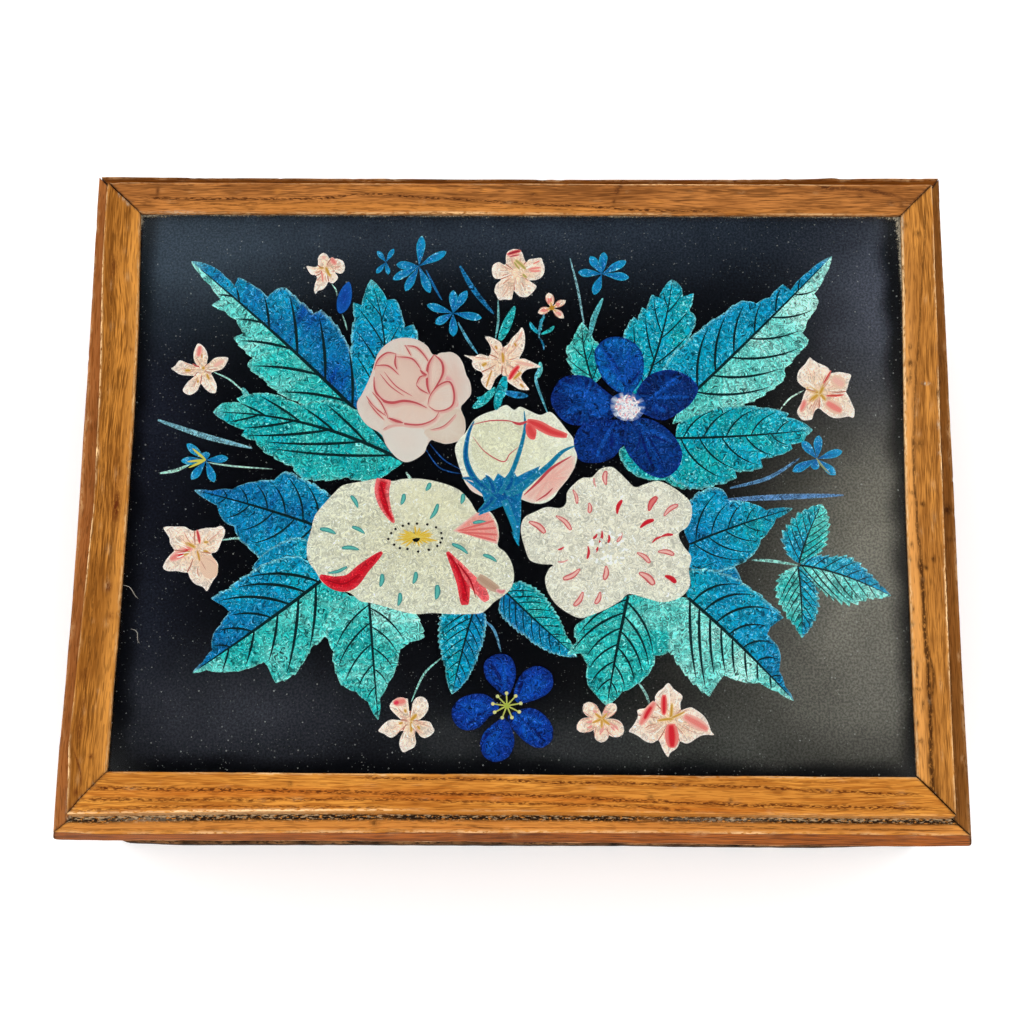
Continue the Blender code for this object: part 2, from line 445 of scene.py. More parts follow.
outerHalf = outerOf("lid_rail")
sightInset = mouldingLook["flare"] + mouldingLook["ledge"] + mouldingLook["band"]
sightHalf = outerHalf - sightInset
settleLook = {
    # millimetres: how far each edge stands from square, and the radius of the worn outer corners
    "leftOuter": (0.3, 1.4), "leftSight": (1.3, 0.3, 0.75), "rightSight": 2.6, "backSight": 0.75,
    "corner": 1.8, "farRight": 0.9,
    # millimetres to the right for the side rails' outer edges and band arrises, place by place from front to
    # back; to the back for the back rail's outer edge; and forwards for the front rail's arrises and foot
    "leftEdge": [
        -110, -0.4, -93, 0.25, -85, 0.5, -51, 0, -33, -0.4, -15, -0.65, 21, -0.65, 39, -0.4, 58, 0.05, 77,
        0.45, 96, 0.4, 116, -0.15
    ],
    "rightEdge": [
        -116, 0.6, -91, 0.35, -57, 0, -14, -0.05, 22, -0.4, 59, -0.55, 78, -0.65, 97, -0.85, 117, -0.7
    ],
    "leftArris": [-112, 0, -89, -1.1, -41, 0.2, -6, 1.4, 31, 0.8, 77, -0.9, 104, -0.9, 118, 0],
    "rightArris": [-118, 0, -40, 0.2, 10, 0.6, 118, 0.6],
    "backEdge": [
        -149, 0.35, -98, 0, -72, -0.2, -34, -0.3, 4, -0.4, 55, -0.3, 80, -0.05, 91, 0, 93.4, 0.45, 96, 0.1,
        104, 0.4, 109.4, 0.9, 113, 0.65, 150, 0.7
    ],
    "frontBand": [
        -152, 2.2, -140, 1.9, -125, 1.35, -108, 1, -96, 0.7, -69, 0.3, -30, 0, 45, 0.05, 87, 0.4, 110, 0.5,
        152, 0.35
    ],
    "frontLedge": [
        -152, 1.2, -146, 1.2, -136, 1.8, -110, 1.6, -97, 1.25, -70, 0.9, -30, 0.45, 0, 0.35, 45, 0, 152, 0.1
    ],
    "frontFoot": [
        -152, 0.5, -135, 0.8, -123, 0.5, -71, 0.35, 0, 0.35, 46, 0.5, 89, 0.7, 112, 0.9, 152, 0.7
    ],
}


def settle(x, y):
    # the frame has settled out of square: its left rail leans out at the front, and the side rails narrow to
    # the back; a shift belongs to the outer or the sight edge and runs evenly from one to the other
    look = settleLook
    band = mouldingLook["band"]
    ledge = sightInset - band
    front = smoothStep(20, 118, -y)
    leftOuter = -look["leftOuter"][0] - look["leftOuter"][1] * front
    bow = look["leftSight"][2] * bell((y - 50) / 35)
    leftSight = -look["leftSight"][0] - look["leftSight"][1] * front + bow
    outer = np.where(x < 0, leftOuter, 0.0)
    sight = np.where(x < 0, leftSight, look["rightSight"] * smoothStep(-20, 115, y))
    rise = np.clip((np.abs(x) - sightHalf[0]) / sightInset, 0, 1)
    inside = np.clip(np.abs(x) / sightHalf[0], 0, 1)
    riseBack = np.clip((y - sightHalf[1]) / sightInset, 0, 1)
    back = look["backSight"] * (1 - riseBack) * smoothStep(0.5, 1.0, y / sightHalf[1])
    arris = 1 - np.abs(np.abs(x) - sightHalf[0] - band) / band
    leftArris, rightArris = readOff(look["leftArris"], y), readOff(look["rightArris"], y)
    bulge = np.where(x < 0, leftArris, rightArris) * smoothStep(0, 1, arris)
    beyond = np.clip((np.abs(x) - outerHalf[0] + ledge) / ledge, 0, 1)
    bulge = bulge + np.where(x < 0, readOff(look["leftEdge"], y), readOff(look["rightEdge"], y)) * beyond
    back = back + readOff(look["backEdge"], x) * np.clip((y - outerHalf[1] + ledge) / ledge, 0, 1)
    # in front the shift runs from none at the sight edge to the band's arris, the ledge's arris and the foot
    stops = (sightHalf[1], outerHalf[1] - ledge, outerHalf[1] - mouldingLook["flare"], outerHalf[1])
    place = np.interp(-y, stops, range(4))
    for row, key in enumerate(("frontBand", "frontLedge", "frontFoot"), 1):
        back = back - readOff(look[key], x) * np.clip(1 - np.abs(place - row), 0, 1)
    return x + (sight + (outer - sight) * rise) * inside + bulge, y + back


def roundCorners(x, y):
    # the square corner of the plan is drawn in to an arc: a square's points mapped into a disc
    radius = settleLook["corner"] + settleLook["farRight"] * ((x > 0) & (y > 0))
    shareX = np.clip((np.abs(x) - outerHalf[0] + radius) / radius, 0, 1.05)
    shareY = np.clip((np.abs(y) - outerHalf[1] + radius) / radius, 0, 1.05)
    drawnX = np.sign(x) * radius * shareX * (1 - np.sqrt(1 - shareY ** 2 / 2))
    drawnY = np.sign(y) * radius * shareY * (1 - np.sqrt(1 - shareX ** 2 / 2))
    return x - drawnX, y - drawnY


def mouldingSection(look, overlap, top, bead):
    # the lid moulding from the skirt's foot up and over to the rebate: across in from the foot, height over
    # the seat
    flare, ledge = look["flare"], look["woodOverWall"]
    step = flare + look["ledge"]
    inner = step + look["band"]
    shoulder = top - look["crown"]
    quirk = flare + look["beadWidth"]
    corners = [(0, -overlap, 0.7), (flare + 0.05, ledge - 0.9, 0)]
    for angle in np.linspace(math.pi, 0, 7):
        across = flare + look["beadWidth"] / 2 * (1 + math.cos(angle))
        corners.append((across, ledge + bead * look["beadRise"] * math.sin(angle), 0))
    corners += [
        (quirk + 0.25, ledge - bead * 0.4, 0), (quirk + 0.5, ledge, 0), (step, ledge, look["cove"] - 0.6)
    ]
    corners.append((step, shoulder, look["bandArris"]))
    for share in np.linspace(0.1, 0.9, 9):
        across = step + look["bandArris"] + share * (look["band"] - look["bandArris"] - look["sightArris"])
        corners.append((across, shoulder + look["crown"] * math.sin(math.pi * share), 0))
    corners += [(inner, shoulder, look["sightArris"]), (inner, top - look["sightLip"], 0)]
    corners += [(inner - look["rebate"], top - look["sightLip"], 0), (inner - look["rebate"], 0, 0)]
    corners += [(look["skirt"], 0, 0), (look["skirt"], -overlap, 0)]
    riser = [(step, ledge + rise) for rise in range(2, 8)]
    marks = {
        "bead": [(flare + 0.3, ledge + 0.1)], "bandArris": [(step + 0.15, shoulder - 0.15)],
        "sightArris": [(inner - 0.2, shoulder - 0.25)], "foot": [(0.15, -overlap + 0.6)],
        "cove": [(step - 1.3, ledge), (step - 0.8, ledge + 0.2)],
        "debris": [(step - 0.3, ledge + 0.7), (step - 0.1, ledge + 1.4), *riser],
        "lip": [(inner, shoulder - 1.2), (inner, shoulder - 1.9)], "step": step, "inner": inner,
        "shoulder": shoulder
    }
    return corners, marks


# The four rails of the lid. Lines are rings and cracks: along, across, along, across in a row, then the
# half width, darkness and depth. Spots are (along, across, length, width, strength). All in millimetres,
# along X or Y.
railLooks = {
    "front": {
        "seed": 3.0, "roughness": 0.46, "bump": 0.5, "blotch": 0.4, "pores": 0.35, "redMix": 0.6,
        "light": (214, 144, 60), "dark": (164, 100, 36), "shade": (154, 86, 28), "ring": (88, 42, 14),
        "red": (176, 88, 24), "skirtLight": (158, 86, 32), "skirtDark": (92, 46, 16), "stain": (58, 32, 16),
        "beadWearAndHighlight": 0.95, "footWearAndHighlight": 1.1,
        "shades": [(0, 1.0, 26, 4.0, 0.4), (118, 1.0, 12, 4.0, 0.25), (-146, 1.0, 8, 4.0, 0.3)],
        "ledgeLightAndShade": (222, 150, 74),
        "edgeWearAndHighlight": [-150, 0.9, -60, 1, -30, 0.6, 40, 0.35, 70, 0.15, 150, 0.25],
        "debris": [-150, 0.7, -70, 0.5, -30, 0.1, 60, 0.15, 84, 0.6, 150, 0.5], "bareAndHighlight": (240, 196, 142),
        "gaps": (0.05, 0.05, 0.05, 0.25), "wearDepth": 0.22, "grimeAndShade": 1.0, "bead": 0.35, "skirtTo": 1.2,
        "chips": [(-90, 8.4, 30, 0.3), (-78, 20.2, 3, 0.4)],
        "cracks": [
            ([-37, 6.6, -17, 4.8, 2, 3.3], 0.2, 0.75, 0.05),
            ([10, 7.3, 42, 6.2, 75, 4.8, 140, 4.2], 0.2, 0.75, 0.05),
            ([-150, 3.6, -100, 3.5, -60, 3, -30, 3.2], 0.25, 0.5, 0.03)
        ],
        "lines": [
            (
                [-50, 19, -37, 18.7, -10, 18.6, 15, 17.8, 41, 17.6, 74, 16.9, 110, 15.5, 132, 14.7], 0.6,
                1.0, 0.05
            ),
            (
                [
                    -137, 15.7, -102, 15, -60, 14.3, -37, 13.8, -10, 13.7, 15, 13.2, 41, 12.1, 74, 11.1,
                    135, 10.6
                ],
                0.72, 1.0, 0.06
            ),
            ([-140, 12.1, -86, 11.8, -37, 11.9, 12, 10.8, 45, 9.9, 60, 9], 0.6, 0.9, 0.06),
            ([-143, 9.4, -102, 9.9, -60, 9.6, -40, 9.2], 0.5, 0.8, 0.05),
            ([40, 7.3, 90, 6.6, 140, 6.2], 0.35, 0.7, 0.06),
            ([20, 19.4, 70, 18.8, 120, 18.6], 0.25, 0.5, 0.02)
        ],
        "redden": [
            (-75, 14.0, 60, 1.6, 1.0), (0, 12.2, 60, 1.0, 0.9), (60, 9.4, 40, 1.0, 0.8),
            (-90, 9.6, 50, 1.0, 0.4)
        ],
        "spots": [
            (-45, 5.3, 1.5, 0.8, 0.9), (-72, 16.8, 0.7, 0.9, 0.8), (71, 12.6, 0.8, 0.8, 0.8),
            (45, 13.4, 1.0, 0.6, 0.7)
        ],
        "scuffs": [(-120, 7.0, 9, 0.8, 0.35), (66, 7.0, 12, 0.5, 0.5)]
    },
    "back": {
        "seed": 8.0, "roughness": 0.5, "bump": 0.55, "blotch": 0.5, "pores": 0.45, "redMix": 0.55,
        "light": (182, 116, 58), "dark": (118, 72, 34), "shade": (118, 68, 30), "ring": (66, 32, 14),
        "red": (206, 132, 58), "skirtLight": (136, 76, 24), "skirtDark": (92, 48, 14),
        "stain": (66, 32, 16), "beadWearAndHighlight": 0.35, "mitreDark": 0.7,
        "cracks": [([102, 9.6, 117, 10.5, 124, 11.2, 131, 13.4, 134, 14.9], 0.8, 0.8, 0.05)],
        "ledgeLightAndShade": (90, 46, 10), "edgeWearAndHighlight": [-150, 0.6, 150, 0.6], "debris": [-150, 0.6, 150, 0.4],
        "bareAndHighlight": (232, 184, 128), "gaps": (0.1, 0.05, 0.7, 0.1), "wearDepth": 0.26, "grimeAndShade": 0.35,
        "bead": 0.1, "skirtTo": 7.6, "chips": [(-24, 19.9, 14, 0.4), (60, 8.5, 30, 0.3)],
        "lines": [
            (
                [
                    -131, 14.6, -105, 15, -84, 15, -68, 14.4, -58, 13.4, -50, 12.9, -42, 13.6, -17, 15.1,
                    10, 16.9, 43, 18.6, 71, 19.3
                ],
                0.55, 1.0, 0.06
            ),
            (
                [-125, 16.6, -100, 17.2, -80, 16.4, -60, 16, -40, 17, -20, 17.6, 10, 18.2, 36, 19.6], 0.3,
                0.5, 0.04
            ),
            ([-120, 18.4, -95, 18.9, -70, 18.2, -45, 18.8], 0.25, 0.45, 0.03),
            ([-140, 9.6, -100, 9.4, -60, 9.4, 0, 9.3, 60, 9.4, 100, 9.5], 0.22, 0.5, 0.03),
            ([90, 17.2, 110, 17.6, 130, 16.8], 0.2, 0.4, 0.03)
        ],
        "redden": [
            (-60, 17.8, 60, 2.4, 0.8), (10, 19.0, 30, 1.6, 0.8), (90, 19.4, 40, 1.0, 0.6),
            (-61, 10.2, 2.2, 1.4, 0.9), (-48, 10.8, 5.0, 1.6, 0.9), (-36, 10.8, 5, 1.4, 0.8),
            (-28.9, 11, 2.0, 1.3, 1.0), (-20.5, 10.9, 1.4, 1, 0.9), (-11.6, 11.3, 1.2, 1, 0.9),
            (6, 12, 2, 1, 0.7), (48, 15.6, 2.2, 1.0, 0.7), (-84, 11.8, 1.2, 1.0, 0.8)
        ],
        "spots": [
            (-126, 11.8, 0.7, 2.0, 0.9), (-129, 16.2, 1.6, 0.8, 0.6), (35.4, 9.2, 0.8, 1.1, 1.2),
            (34.2, 11.4, 0.8, 1.4, 1.2), (33.1, 15.4, 0.6, 1.0, 1.0), (5.6, 12.7, 1.4, 0.9, 0.9),
            (94, 19.4, 2.6, 1.2, 0.7), (128, 15.6, 0.9, 0.8, 0.9), (132, 16.6, 0.9, 0.8, 0.9),
            (118, 13.0, 1.2, 1.0, 0.8), (106, 9.0, 2.5, 1.0, 0.6), (-48, 9.6, 4.0, 0.8, 0.4)
        ],
        "scuffs": [(-118, 20.0, 6.0, 0.5, 0.6)]
    },
    "left": {
        "seed": 13.0, "roughness": 0.48, "bump": 0.6, "blotch": 0.65, "pores": 0.4, "redMix": 0.5,
        "light": (190, 125, 52), "dark": (118, 71, 24), "shade": (126, 74, 24), "ring": (72, 38, 12),
        "red": (212, 144, 66), "skirtLight": (176, 114, 66), "skirtDark": (136, 80, 42),
        "stain": (84, 34, 12), "beadWearAndHighlight": 0.35,
        "cracks": [([-105, 13, -99, 12.6, -94, 11, -90, 9.6], 0.3, 0.9, 0.1)], "ledgeLightAndShade": (146, 86, 36),
        "edgeWearAndHighlight": [-150, 0.6, 150, 0.6], "debris": [-150, 0.6, 150, 0.6], "bareAndHighlight": (240, 196, 140),
        "gaps": (0.05, 0.12, 0.05, 0.05), "wearDepth": 0.24, "grimeAndShade": 0.25, "bow": 1.5, "bead": 0.1,
        "skirtTo": 7.6,
        "chips": [(11, 8.6, 2.2, 0.8), (-20, 8.3, 12, 0.4), (56, 8.4, 26, 0.35), (-96, 8.2, 6, 0.6)],
        "lines": [
            ([-94, 11.6, -70, 11.9, -40, 11.8, 0, 11.4, 40, 11.6, 70, 11.9, 92, 11.2], 0.3, 0.65, 0.05),
            ([-50, 10.2, -10, 10.4, 40, 10], 0.22, 0.4, 0.03),
            ([20, 13.4, 60, 13.2, 90, 13.6], 0.3, 0.4, 0.03),
            ([-60, 16.4, -20, 16.2, 10, 16.6], 0.22, 0.35, 0.03)
        ],
        "redden": [(0, 19.2, 110, 1.5, 1.0), (-60, 18.0, 40, 2.0, 0.8), (70, 18.4, 30, 1.4, 0.7)],
        "spots": [
            (-9, 17.0, 4.5, 1.1, 0.75), (-4, 15.0, 24, 12.0, 0.2), (-3, 16.8, 8.0, 1.8, 0.3),
            (-36, 16.4, 1.6, 0.9, 1.0), (-93, 15.4, 0.9, 0.9, 0.95), (-46, 17.8, 1.4, 0.9, 0.7),
            (-84, 11.4, 4.0, 1.6, 0.65), (-76, 12.0, 3.0, 1.2, 0.5), (-66, 11.0, 2.4, 2.0, 0.35),
            (78, 12.4, 5.0, 1.4, 0.5), (64, 17.2, 1.2, 0.8, 0.5), (48, 18.6, 1.0, 0.7, 0.6),
            (-104, 11.2, 1.4, 1.0, 0.8)
        ],
        "scuffs": [
            (105.2, 13.1, 0.9, 0.5, 1.0), (103.4, 14.6, 0.9, 0.5, 1.0), (101.6, 15.9, 0.8, 0.4, 0.9),
            (-106, 7.0, 4.0, 1.0, 0.5)
        ]
    },
    "right": {
        "seed": 21.0, "roughness": 0.48, "bump": 0.6, "blotch": 0.5, "pores": 0.35, "redMix": 0.55,
        "light": (196, 131, 59), "dark": (132, 82, 32), "shade": (132, 80, 32), "ring": (74, 40, 16),
        "red": (238, 168, 92), "skirtLight": (144, 92, 42), "skirtDark": (96, 58, 24),
        "stain": (54, 28, 12), "beadWearAndHighlight": 0.3,
        "cracks": [
            (
                [13, 17.6, 27, 17, 42, 16.1, 56, 14.7, 67, 14.1, 76, 13.2, 89, 12.1, 100, 11.4], 0.34, 0.7,
                0.06
            ),
            ([-25, 16.5, -18, 16.9, -8, 17.2, 2, 17.5, 13, 17.6, 20, 17.4], 0.45, 0.85, 0.2),
            (
                [-106, 16.2, -94, 15.7, -84, 15.5, -76, 15.3, -59, 15.6, -51, 15.9, -32, 16.3, -22, 16.4],
                0.8, 1.0, 0.45
            ),
            ([-74, 15.2, -70, 14.4, -66.5, 13.9, -59, 14.3, -52, 15.6], 0.45, 0.9, 0.15)
        ],
        "ledgeLightAndShade": (126, 78, 32), "edgeWearAndHighlight": [-150, 0.6, 150, 0.7], "debris": [-150, 0.6, 150, 0.8],
        "bareAndHighlight": (244, 202, 148), "gaps": (0.25, 0.35, 0.15, 0.05), "wearDepth": 0.3, "grimeAndShade": 0.4,
        "bead": 0.1, "skirtTo": 7.6,
        "chips": [(30, 8.4, 5, 0.5), (6, 8.3, 8, 0.4), (-40, 8.4, 20, 0.35), (40, 20.2, 60, 0.4)],
        "lines": [
            ([-60, 12, -20, 12.4, 20, 12.2], 0.22, 0.35, 0.03),
            ([-90, 10.6, -50, 10.2, -10, 10.8], 0.22, 0.35, 0.03)
        ],
        "redden": [(-60, 18.6, 50, 1.9, 1.0), (0, 19.2, 40, 1.6, 1.0), (45, 18.8, 35, 2.2, 0.6)],
        "spots": [
            (-20, 19.1, 1.14, 0.42, 0.92), (-25, 19.7, 0.89, 0.42, 0.81), (-42, 19.4, 1.14, 0.42, 0.92),
            (-47, 20, 0.63, 0.75, 0.7), (-55, 20.1, 0.63, 0.64, 0.81), (-61, 18.9, 1.77, 0.42, 1.01),
            (-65, 19.1, 2.28, 0.42, 1.01), (-69, 19.2, 0.63, 1.49, 0.81), (-74, 17.5, 2.02, 0.42, 1.01),
            (-80, 19.7, 1.52, 0.53, 0.92), (-90, 20.2, 1.9, 0.64, 0.81), (-86, 19, 0.63, 1.06, 0.81),
            (80, 20.2, 1.26, 0.42, 0.92), (77, 20.2, 1.52, 0.53, 0.92), (74, 19.9, 1.9, 0.42, 0.7),
            (70, 19.4, 1.26, 0.53, 0.7), (50, 18, 1.14, 0.64, 0.92), (44, 18.1, 1.52, 0.95, 1.01),
            (39, 18.1, 2.53, 0.53, 0.81), (38, 19.2, 1.14, 0.53, 0.81), (33, 19.3, 1.52, 0.42, 0.61),
            (91, 14.5, 0.88, 1, 0.81), (94, 18.9, 1.26, 0.85, 0.7), (36.5, 14.2, 0.55, 0.75, 0.81),
            (-6, 15, 0.66, 0.75, 1.35), (-25, 12.3, 0.88, 0.62, 1.22), (-28, 14.7, 0.88, 0.62, 1.08),
            (15, 15.6, 1.76, 1.25, 0.68), (-2, 18.3, 0.63, 0.64, 0.92), (33, 8.8, 2.2, 0.62, 1.22),
            (-5.5, 5.0, 2.0, 1.6, 1.1), (-16, 4.5, 1.0, 1.4, 0.6), (10.6, 5.2, 0.6, 1.0, 0.5),
            (49, 5.3, 4.0, 0.6, 0.7), (40, 6.0, 1.0, 0.6, 0.7), (-104, 14.6, 3.85, 1.5, 0.68)
        ],
        "scuffs": [
            (36.6, 12.9, 0.45, 1.1, 1.0), (22, 8.8, 1.4, 0.7, 0.9), (12, 8.8, 1.0, 0.7, 0.8),
            (96, 20.0, 7.0, 0.5, 0.7)
        ]
    }
}


def spotField(spots, along, across):
    # soft round spots added up, each a bell of its own length and width
    total = np.zeros(np.broadcast(along, across).shape)
    for centre, inset, length, width, strength in spots:
        total = total + strength * bell((along - centre) / length, (across - inset) / width)
    return total


def lineFields(lines, along, across, seed):
    # each line follows its points with a slight tremble; the first result is darkness, the second depth
    dark = np.zeros(np.broadcast(along, across).shape)
    depth = np.zeros_like(dark)
    for number, (points, half, darkness, cut) in enumerate(lines):
        low, high = asPoints(points)[[0, -1], 0]
        middle = readOff(points, along) + 0.22 * ripple(along, 0.0, seed * 10 + number, 14.0, 1.0)
        fade = smoothStep(low - 3, low + 5, along) * (1 - smoothStep(high - 5, high + 3, along))
        width = half * (1 + 0.35 * ripple(along, 0.0, seed * 10 + number + 0.5, 9.0, 1.0))
        near = np.exp(-(np.abs((across - middle) / np.maximum(width, 0.1)) ** 3)) * fade
        dark = np.maximum(dark, near * darkness)
        depth = np.maximum(depth, near * cut)
    return dark, depth


def dentField(along, across, seed, count, span, places, size, depth):
    # seeded dents: each a small bell pressed into the surface near one of the named places across
    draw = np.random.default_rng(round(seed * 100))
    total = np.zeros(np.broadcast(along, across).shape)
    for _ in range(count):
        centre = draw.uniform(-span, span)
        inset = draw.choice(places) + draw.normal(0, 0.35)
        length = size * draw.uniform(0.5, 2.2)
        width = size * draw.uniform(0.4, 0.9)
        push = depth * draw.uniform(0.3, 1.0)
        total = total + push * bell((along - centre) / length, (across - inset) / width)
    return total


def developed(path):
    # how far round the closed path each of its points lies
    runs = np.linalg.norm(np.roll(path, -1, axis=0) - path, axis=1)
    return np.concatenate([[0], np.cumsum(runs)[:-1]])


def endCaps(rows, columns):
    # the first and the last row of a closed grid, each as one face
    return [np.arange(columns)[::-1], np.arange(columns) + (rows - 1) * columns]


def carryBar(side, section, spacing, half, seat, gaps, step, shape):
    # the section is carried along the bar; at each inset the bar ends on its mitre, less the gaps at the two
    # ends, each given as (outer edge, inner edge), and shape gives the push along the normals and the fields
    halfLength, halfDepth = half
    path = finePath(section, spacing)
    normals = pathNormals(path)
    share = path[:, 0] / path[:, 0].max()
    endLow = halfLength - path[:, 0] - (gaps[0] + (gaps[1] - gaps[0]) * share)
    endHigh = halfLength - path[:, 0] - (gaps[2] + (gaps[3] - gaps[2]) * share)
    stations = np.linspace(0, 1, round(2 * halfLength / step) + 1)[:, None]
    local = -endLow + (endLow + endHigh) * stations
    along = local if side in ("front", "right") else -local
    push, fields = shape(path, along, np.broadcast_to(path[:, 0], local.shape))
    across = path[:, 0] + normals[:, 0] * push
    height = path[:, 1] + normals[:, 1] * push
    points = turned(side, local, halfDepth - across - fields.pop("bow", 0.0), height + seat)
    uv = np.stack([local + sideTurns[side] * 400, np.broadcast_to(developed(path), local.shape)], axis=-1)
    quads = gridFaces(*local.shape, closed=True)
    fields = {key: value.reshape(-1) for key, value in fields.items()}
    return points.reshape(-1, 3) * mm, quads, endCaps(*local.shape), fields, uv.reshape(-1, 2)


def halves(side, outer):
    # half the length of a side's bar, and how far its outer face stands from the middle
    return outer if side in ("front", "back") else outer[::-1]


def makeRail(side):
    look = railLooks[side]
    seed = look["seed"]
    low, high = boxOf("lid_rail_" + side)
    seat = boxOf("lid_board")[0][2]
    halfLength = halves(side, outerHalf)[0]
    corners, marks = mouldingSection(mouldingLook, seat - low[2], high[2] - seat, look["bead"])
    step, inner, shoulder = marks["step"], marks["inner"], marks["shoulder"]

    def spacing(place):
        hidden = place[0] > inner - 0.01 and place[1] < shoulder - 1.2
        under = place[0] > mouldingLook["skirt"] - 0.01 and place[1] < shoulder - 2.0
        covered = hidden or (under and abs(place[0] - step) > 0.3)
        return mouldingLook["hiddenSpacing" if covered and place[1] != 2.5 else "fineSpacing"]

    def shape(path, along, inset):
        heights = path[:, 1]

        def near(mark, width):
            return nearness(path, marks[mark], width)

        def wave(shift, length, width, across=heights):
            return ripple(along, across, seed + shift, length, width)

        outerFace = (heights > -20) & ~((path[:, 0] > mouldingLook["skirt"] - 0.01) & (heights < 1.0))
        top = smoothStep(shoulder - 1.4, shoulder - 0.5, heights)
        top = np.clip(top + smoothStep(2.0, 2.4, heights) * (inset < step - 0.6), 0, 1)
        # worn edges that also carry a painted highlight, and the dents, rings and cracks that are pressed or
        # open in the surface
        edges = look["beadWearAndHighlight"] * near("bead", 0.5) + look.get("footWearAndHighlight", 0.5) * near("foot", 0.5)
        edges = edges + 0.7 * near("sightArris", 0.45)
        arris = edges + readOff(look["edgeWearAndHighlight"], along) * near("bandArris", 0.5)
        rough = 0.5 + 0.5 * wave(0, 26.0, 8.0, heights * 3)
        dark, depth = lineFields(look["lines"], along, inset, seed)
        crack, cut = lineFields(look["cracks"], along, inset, seed + 3)
        dentPlaces = [step + 0.3, inner - 0.4, 3.2, 2.4, 12, 16]
        dents = dentField(along, inset, int(seed) + 40, 60, halfLength - 6, dentPlaces, 1.0, 0.32)
        push = -look["wearDepth"] * arris * np.clip(rough, 0, 1.3)
        push = push + 0.07 * wave(1, 40.0, 9.0, inset) * outerFace
        push = push - np.maximum(depth, cut) * top
        push = push - dents * outerFace * np.clip(top + arris, 0, 1)
        push = np.where(outerFace, push, 0.0)
        # dirt and painted shade in the cove, up the step's face, along the lip and towards the ends, and dirt
        # in the mitres, which are dark where they stand open
        ends = smoothStep(halfLength - 30, halfLength - 6, np.abs(along) + inset * 0.5)
        cove = near("cove", 0.75)
        # the step's face darkens by the debris table: dirt, and painted shade
        upper = near("debris", 0.9) * readOff(look["debris"], along)
        lip = near("lip", 0.5)
        toMitre = np.maximum(halfLength - inset - np.abs(along), 0)
        mitre = bell(toMitre / 0.9) * outerFace * np.clip(0.55 + 0.6 * wave(6, 5.0, 3.0, inset), 0, 1)
        seam = 0.9 * bell(toMitre / 0.45) * outerFace
        seam = seam + look.get("mitreDark", 0.0) * bell(toMitre / 0.8) * (inset < 17)
        grimeAndShade = cove * (0.55 + 0.6 * wave(2, 34.0, 12.0) + 0.6) + upper
        grimeAndShade = look["grimeAndShade"] * grimeAndShade + 0.7 * lip + 0.25 * ends * cove + 0.6 * mitre
        # loose chips and spots
        chips = spotField([(*chip, 1.0) for chip in look["chips"]], along, inset)
        chips = chips * smoothStep(1.5, 2.6, heights)
        shade = spotField(look.get("shades", []), along, inset) * outerFace * (1 - top)
        spots = (spotField(look["spots"], along, inset) + crack) * top + seam + shade
        bow = look.get("bow", 0.0) * np.cos(math.pi * along / (2 * halfLength)) ** 2
        # the ledge's mask, for the painted light and shade that each rail's ledge takes
        ledge = smoothStep(2.4, 3.0, inset) * smoothStep(step - 0.3, step - 1.4, inset)
        below = inset - 20 * smoothStep(2.6, 1.9, heights)
        return push, {
            "wearAndHighlight": np.clip(arris * (0.5 + 0.6 * wave(3, 22.0, 9.0)) + dents * 0.6 + chips, 0, 1),
            "grimeAndShade": np.clip(grimeAndShade, 0, 1),
            "rings": dark * top,
            "redden": np.clip(spotField(look["redden"], along, inset), 0, 1) * top,
            "stain": np.clip(spots, 0, 1),
            "scuff": np.clip(spotField(look["scuffs"], along, inset) * top, 0, 1),
            "ledge": ledge * smoothStep(1.8, 2.3, heights),
            "debris": upper + 0.4 * lip + 0 * inset,
            "skirt": smoothStep(look["skirtTo"] + 0.4, look["skirtTo"], below),
            "bow": bow * smoothStep(12.0, 20.0, inset),
        }

    gaps = [gap + mouldingLook["mitreGap"] for gap in look["gaps"]]
    points, quads, caps, fields, uv = carryBar(
        side, roundedPath(corners), spacing, halves(side, outerHalf), seat, gaps, mouldingLook["step"],
        shape
    )
    points[:, 0], points[:, 1] = settle(*roundCorners(points[:, 0] / mm, points[:, 1] / mm))
    points[:, :2] *= mm
    rail = makePiece(f"worn_{side}_rail", points, quads, makeOak(side + "_oak", look), caps, fields, uv=uv)
    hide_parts("lid_rail_" + side)
    return rail


for side in sideTurns:
    rail = makeRail(side)
    print(side, "rail:", len(rail.data.polygons), "faces")


# Box body: four boards carried the same way, and plain oak on the pieces that stay as they are

bodyLook = {
    "seed": 31.0, "roughness": 0.52, "bump": 0.5, "blotch": 0.5, "pores": 0.6, "redMix": 0.0,
    "light": (156, 98, 50), "dark": (104, 60, 28), "shade": (92, 52, 28), "ring": (56, 32, 18),
    "red": (120, 70, 34), "skirtLight": (150, 96, 52), "skirtDark": (100, 60, 30), "stain": (60, 34, 20),
    "bareAndHighlight": (206, 152, 98), "wearDepth": 0.3, "edgeRadius": 0.8, "mitreGap": 0.15, "step": 1.2,
    "spacing": 1.0,
    "ledgeLightAndShade": (120, 70, 34),
    # growth lines along each wall: the height of each and how far it leans
    "lines": [(12, 3), (21, -2), (33, 5), (41, 2), (52, -4), (60, 2)],
}
boardLook = {
    "seed": 47.0, "roughness": 0.62, "bump": 0.35, "blotch": 0.3, "pores": 0.3,
    "light": (206, 170, 122), "dark": (172, 132, 88), "shade": (150, 112, 74), "ring": (112, 78, 48),
}
# the bottom board's near-black tones are painted shade under the lid's overhang, with dirt
baseLook = dict(
    # front: how far the front edge stands out from its narrowest line, place by place along it
    bodyLook, seed=39.0, light=(96, 66, 42), dark=(42, 30, 20), shade=(26, 20, 14), bareAndHighlight=(140, 98, 60),
    stain=(14, 11, 8),
    radius=1.6, step=1.5, narrow=112.5,
    front=[
        -146, 0, -143, 1.3, -123, 1.95, -98, 1.75, -59, 1.45, 5, 1.25, 44, 1, 57, 1.2, 110, 1.2, 134, 0.4
    ],
)


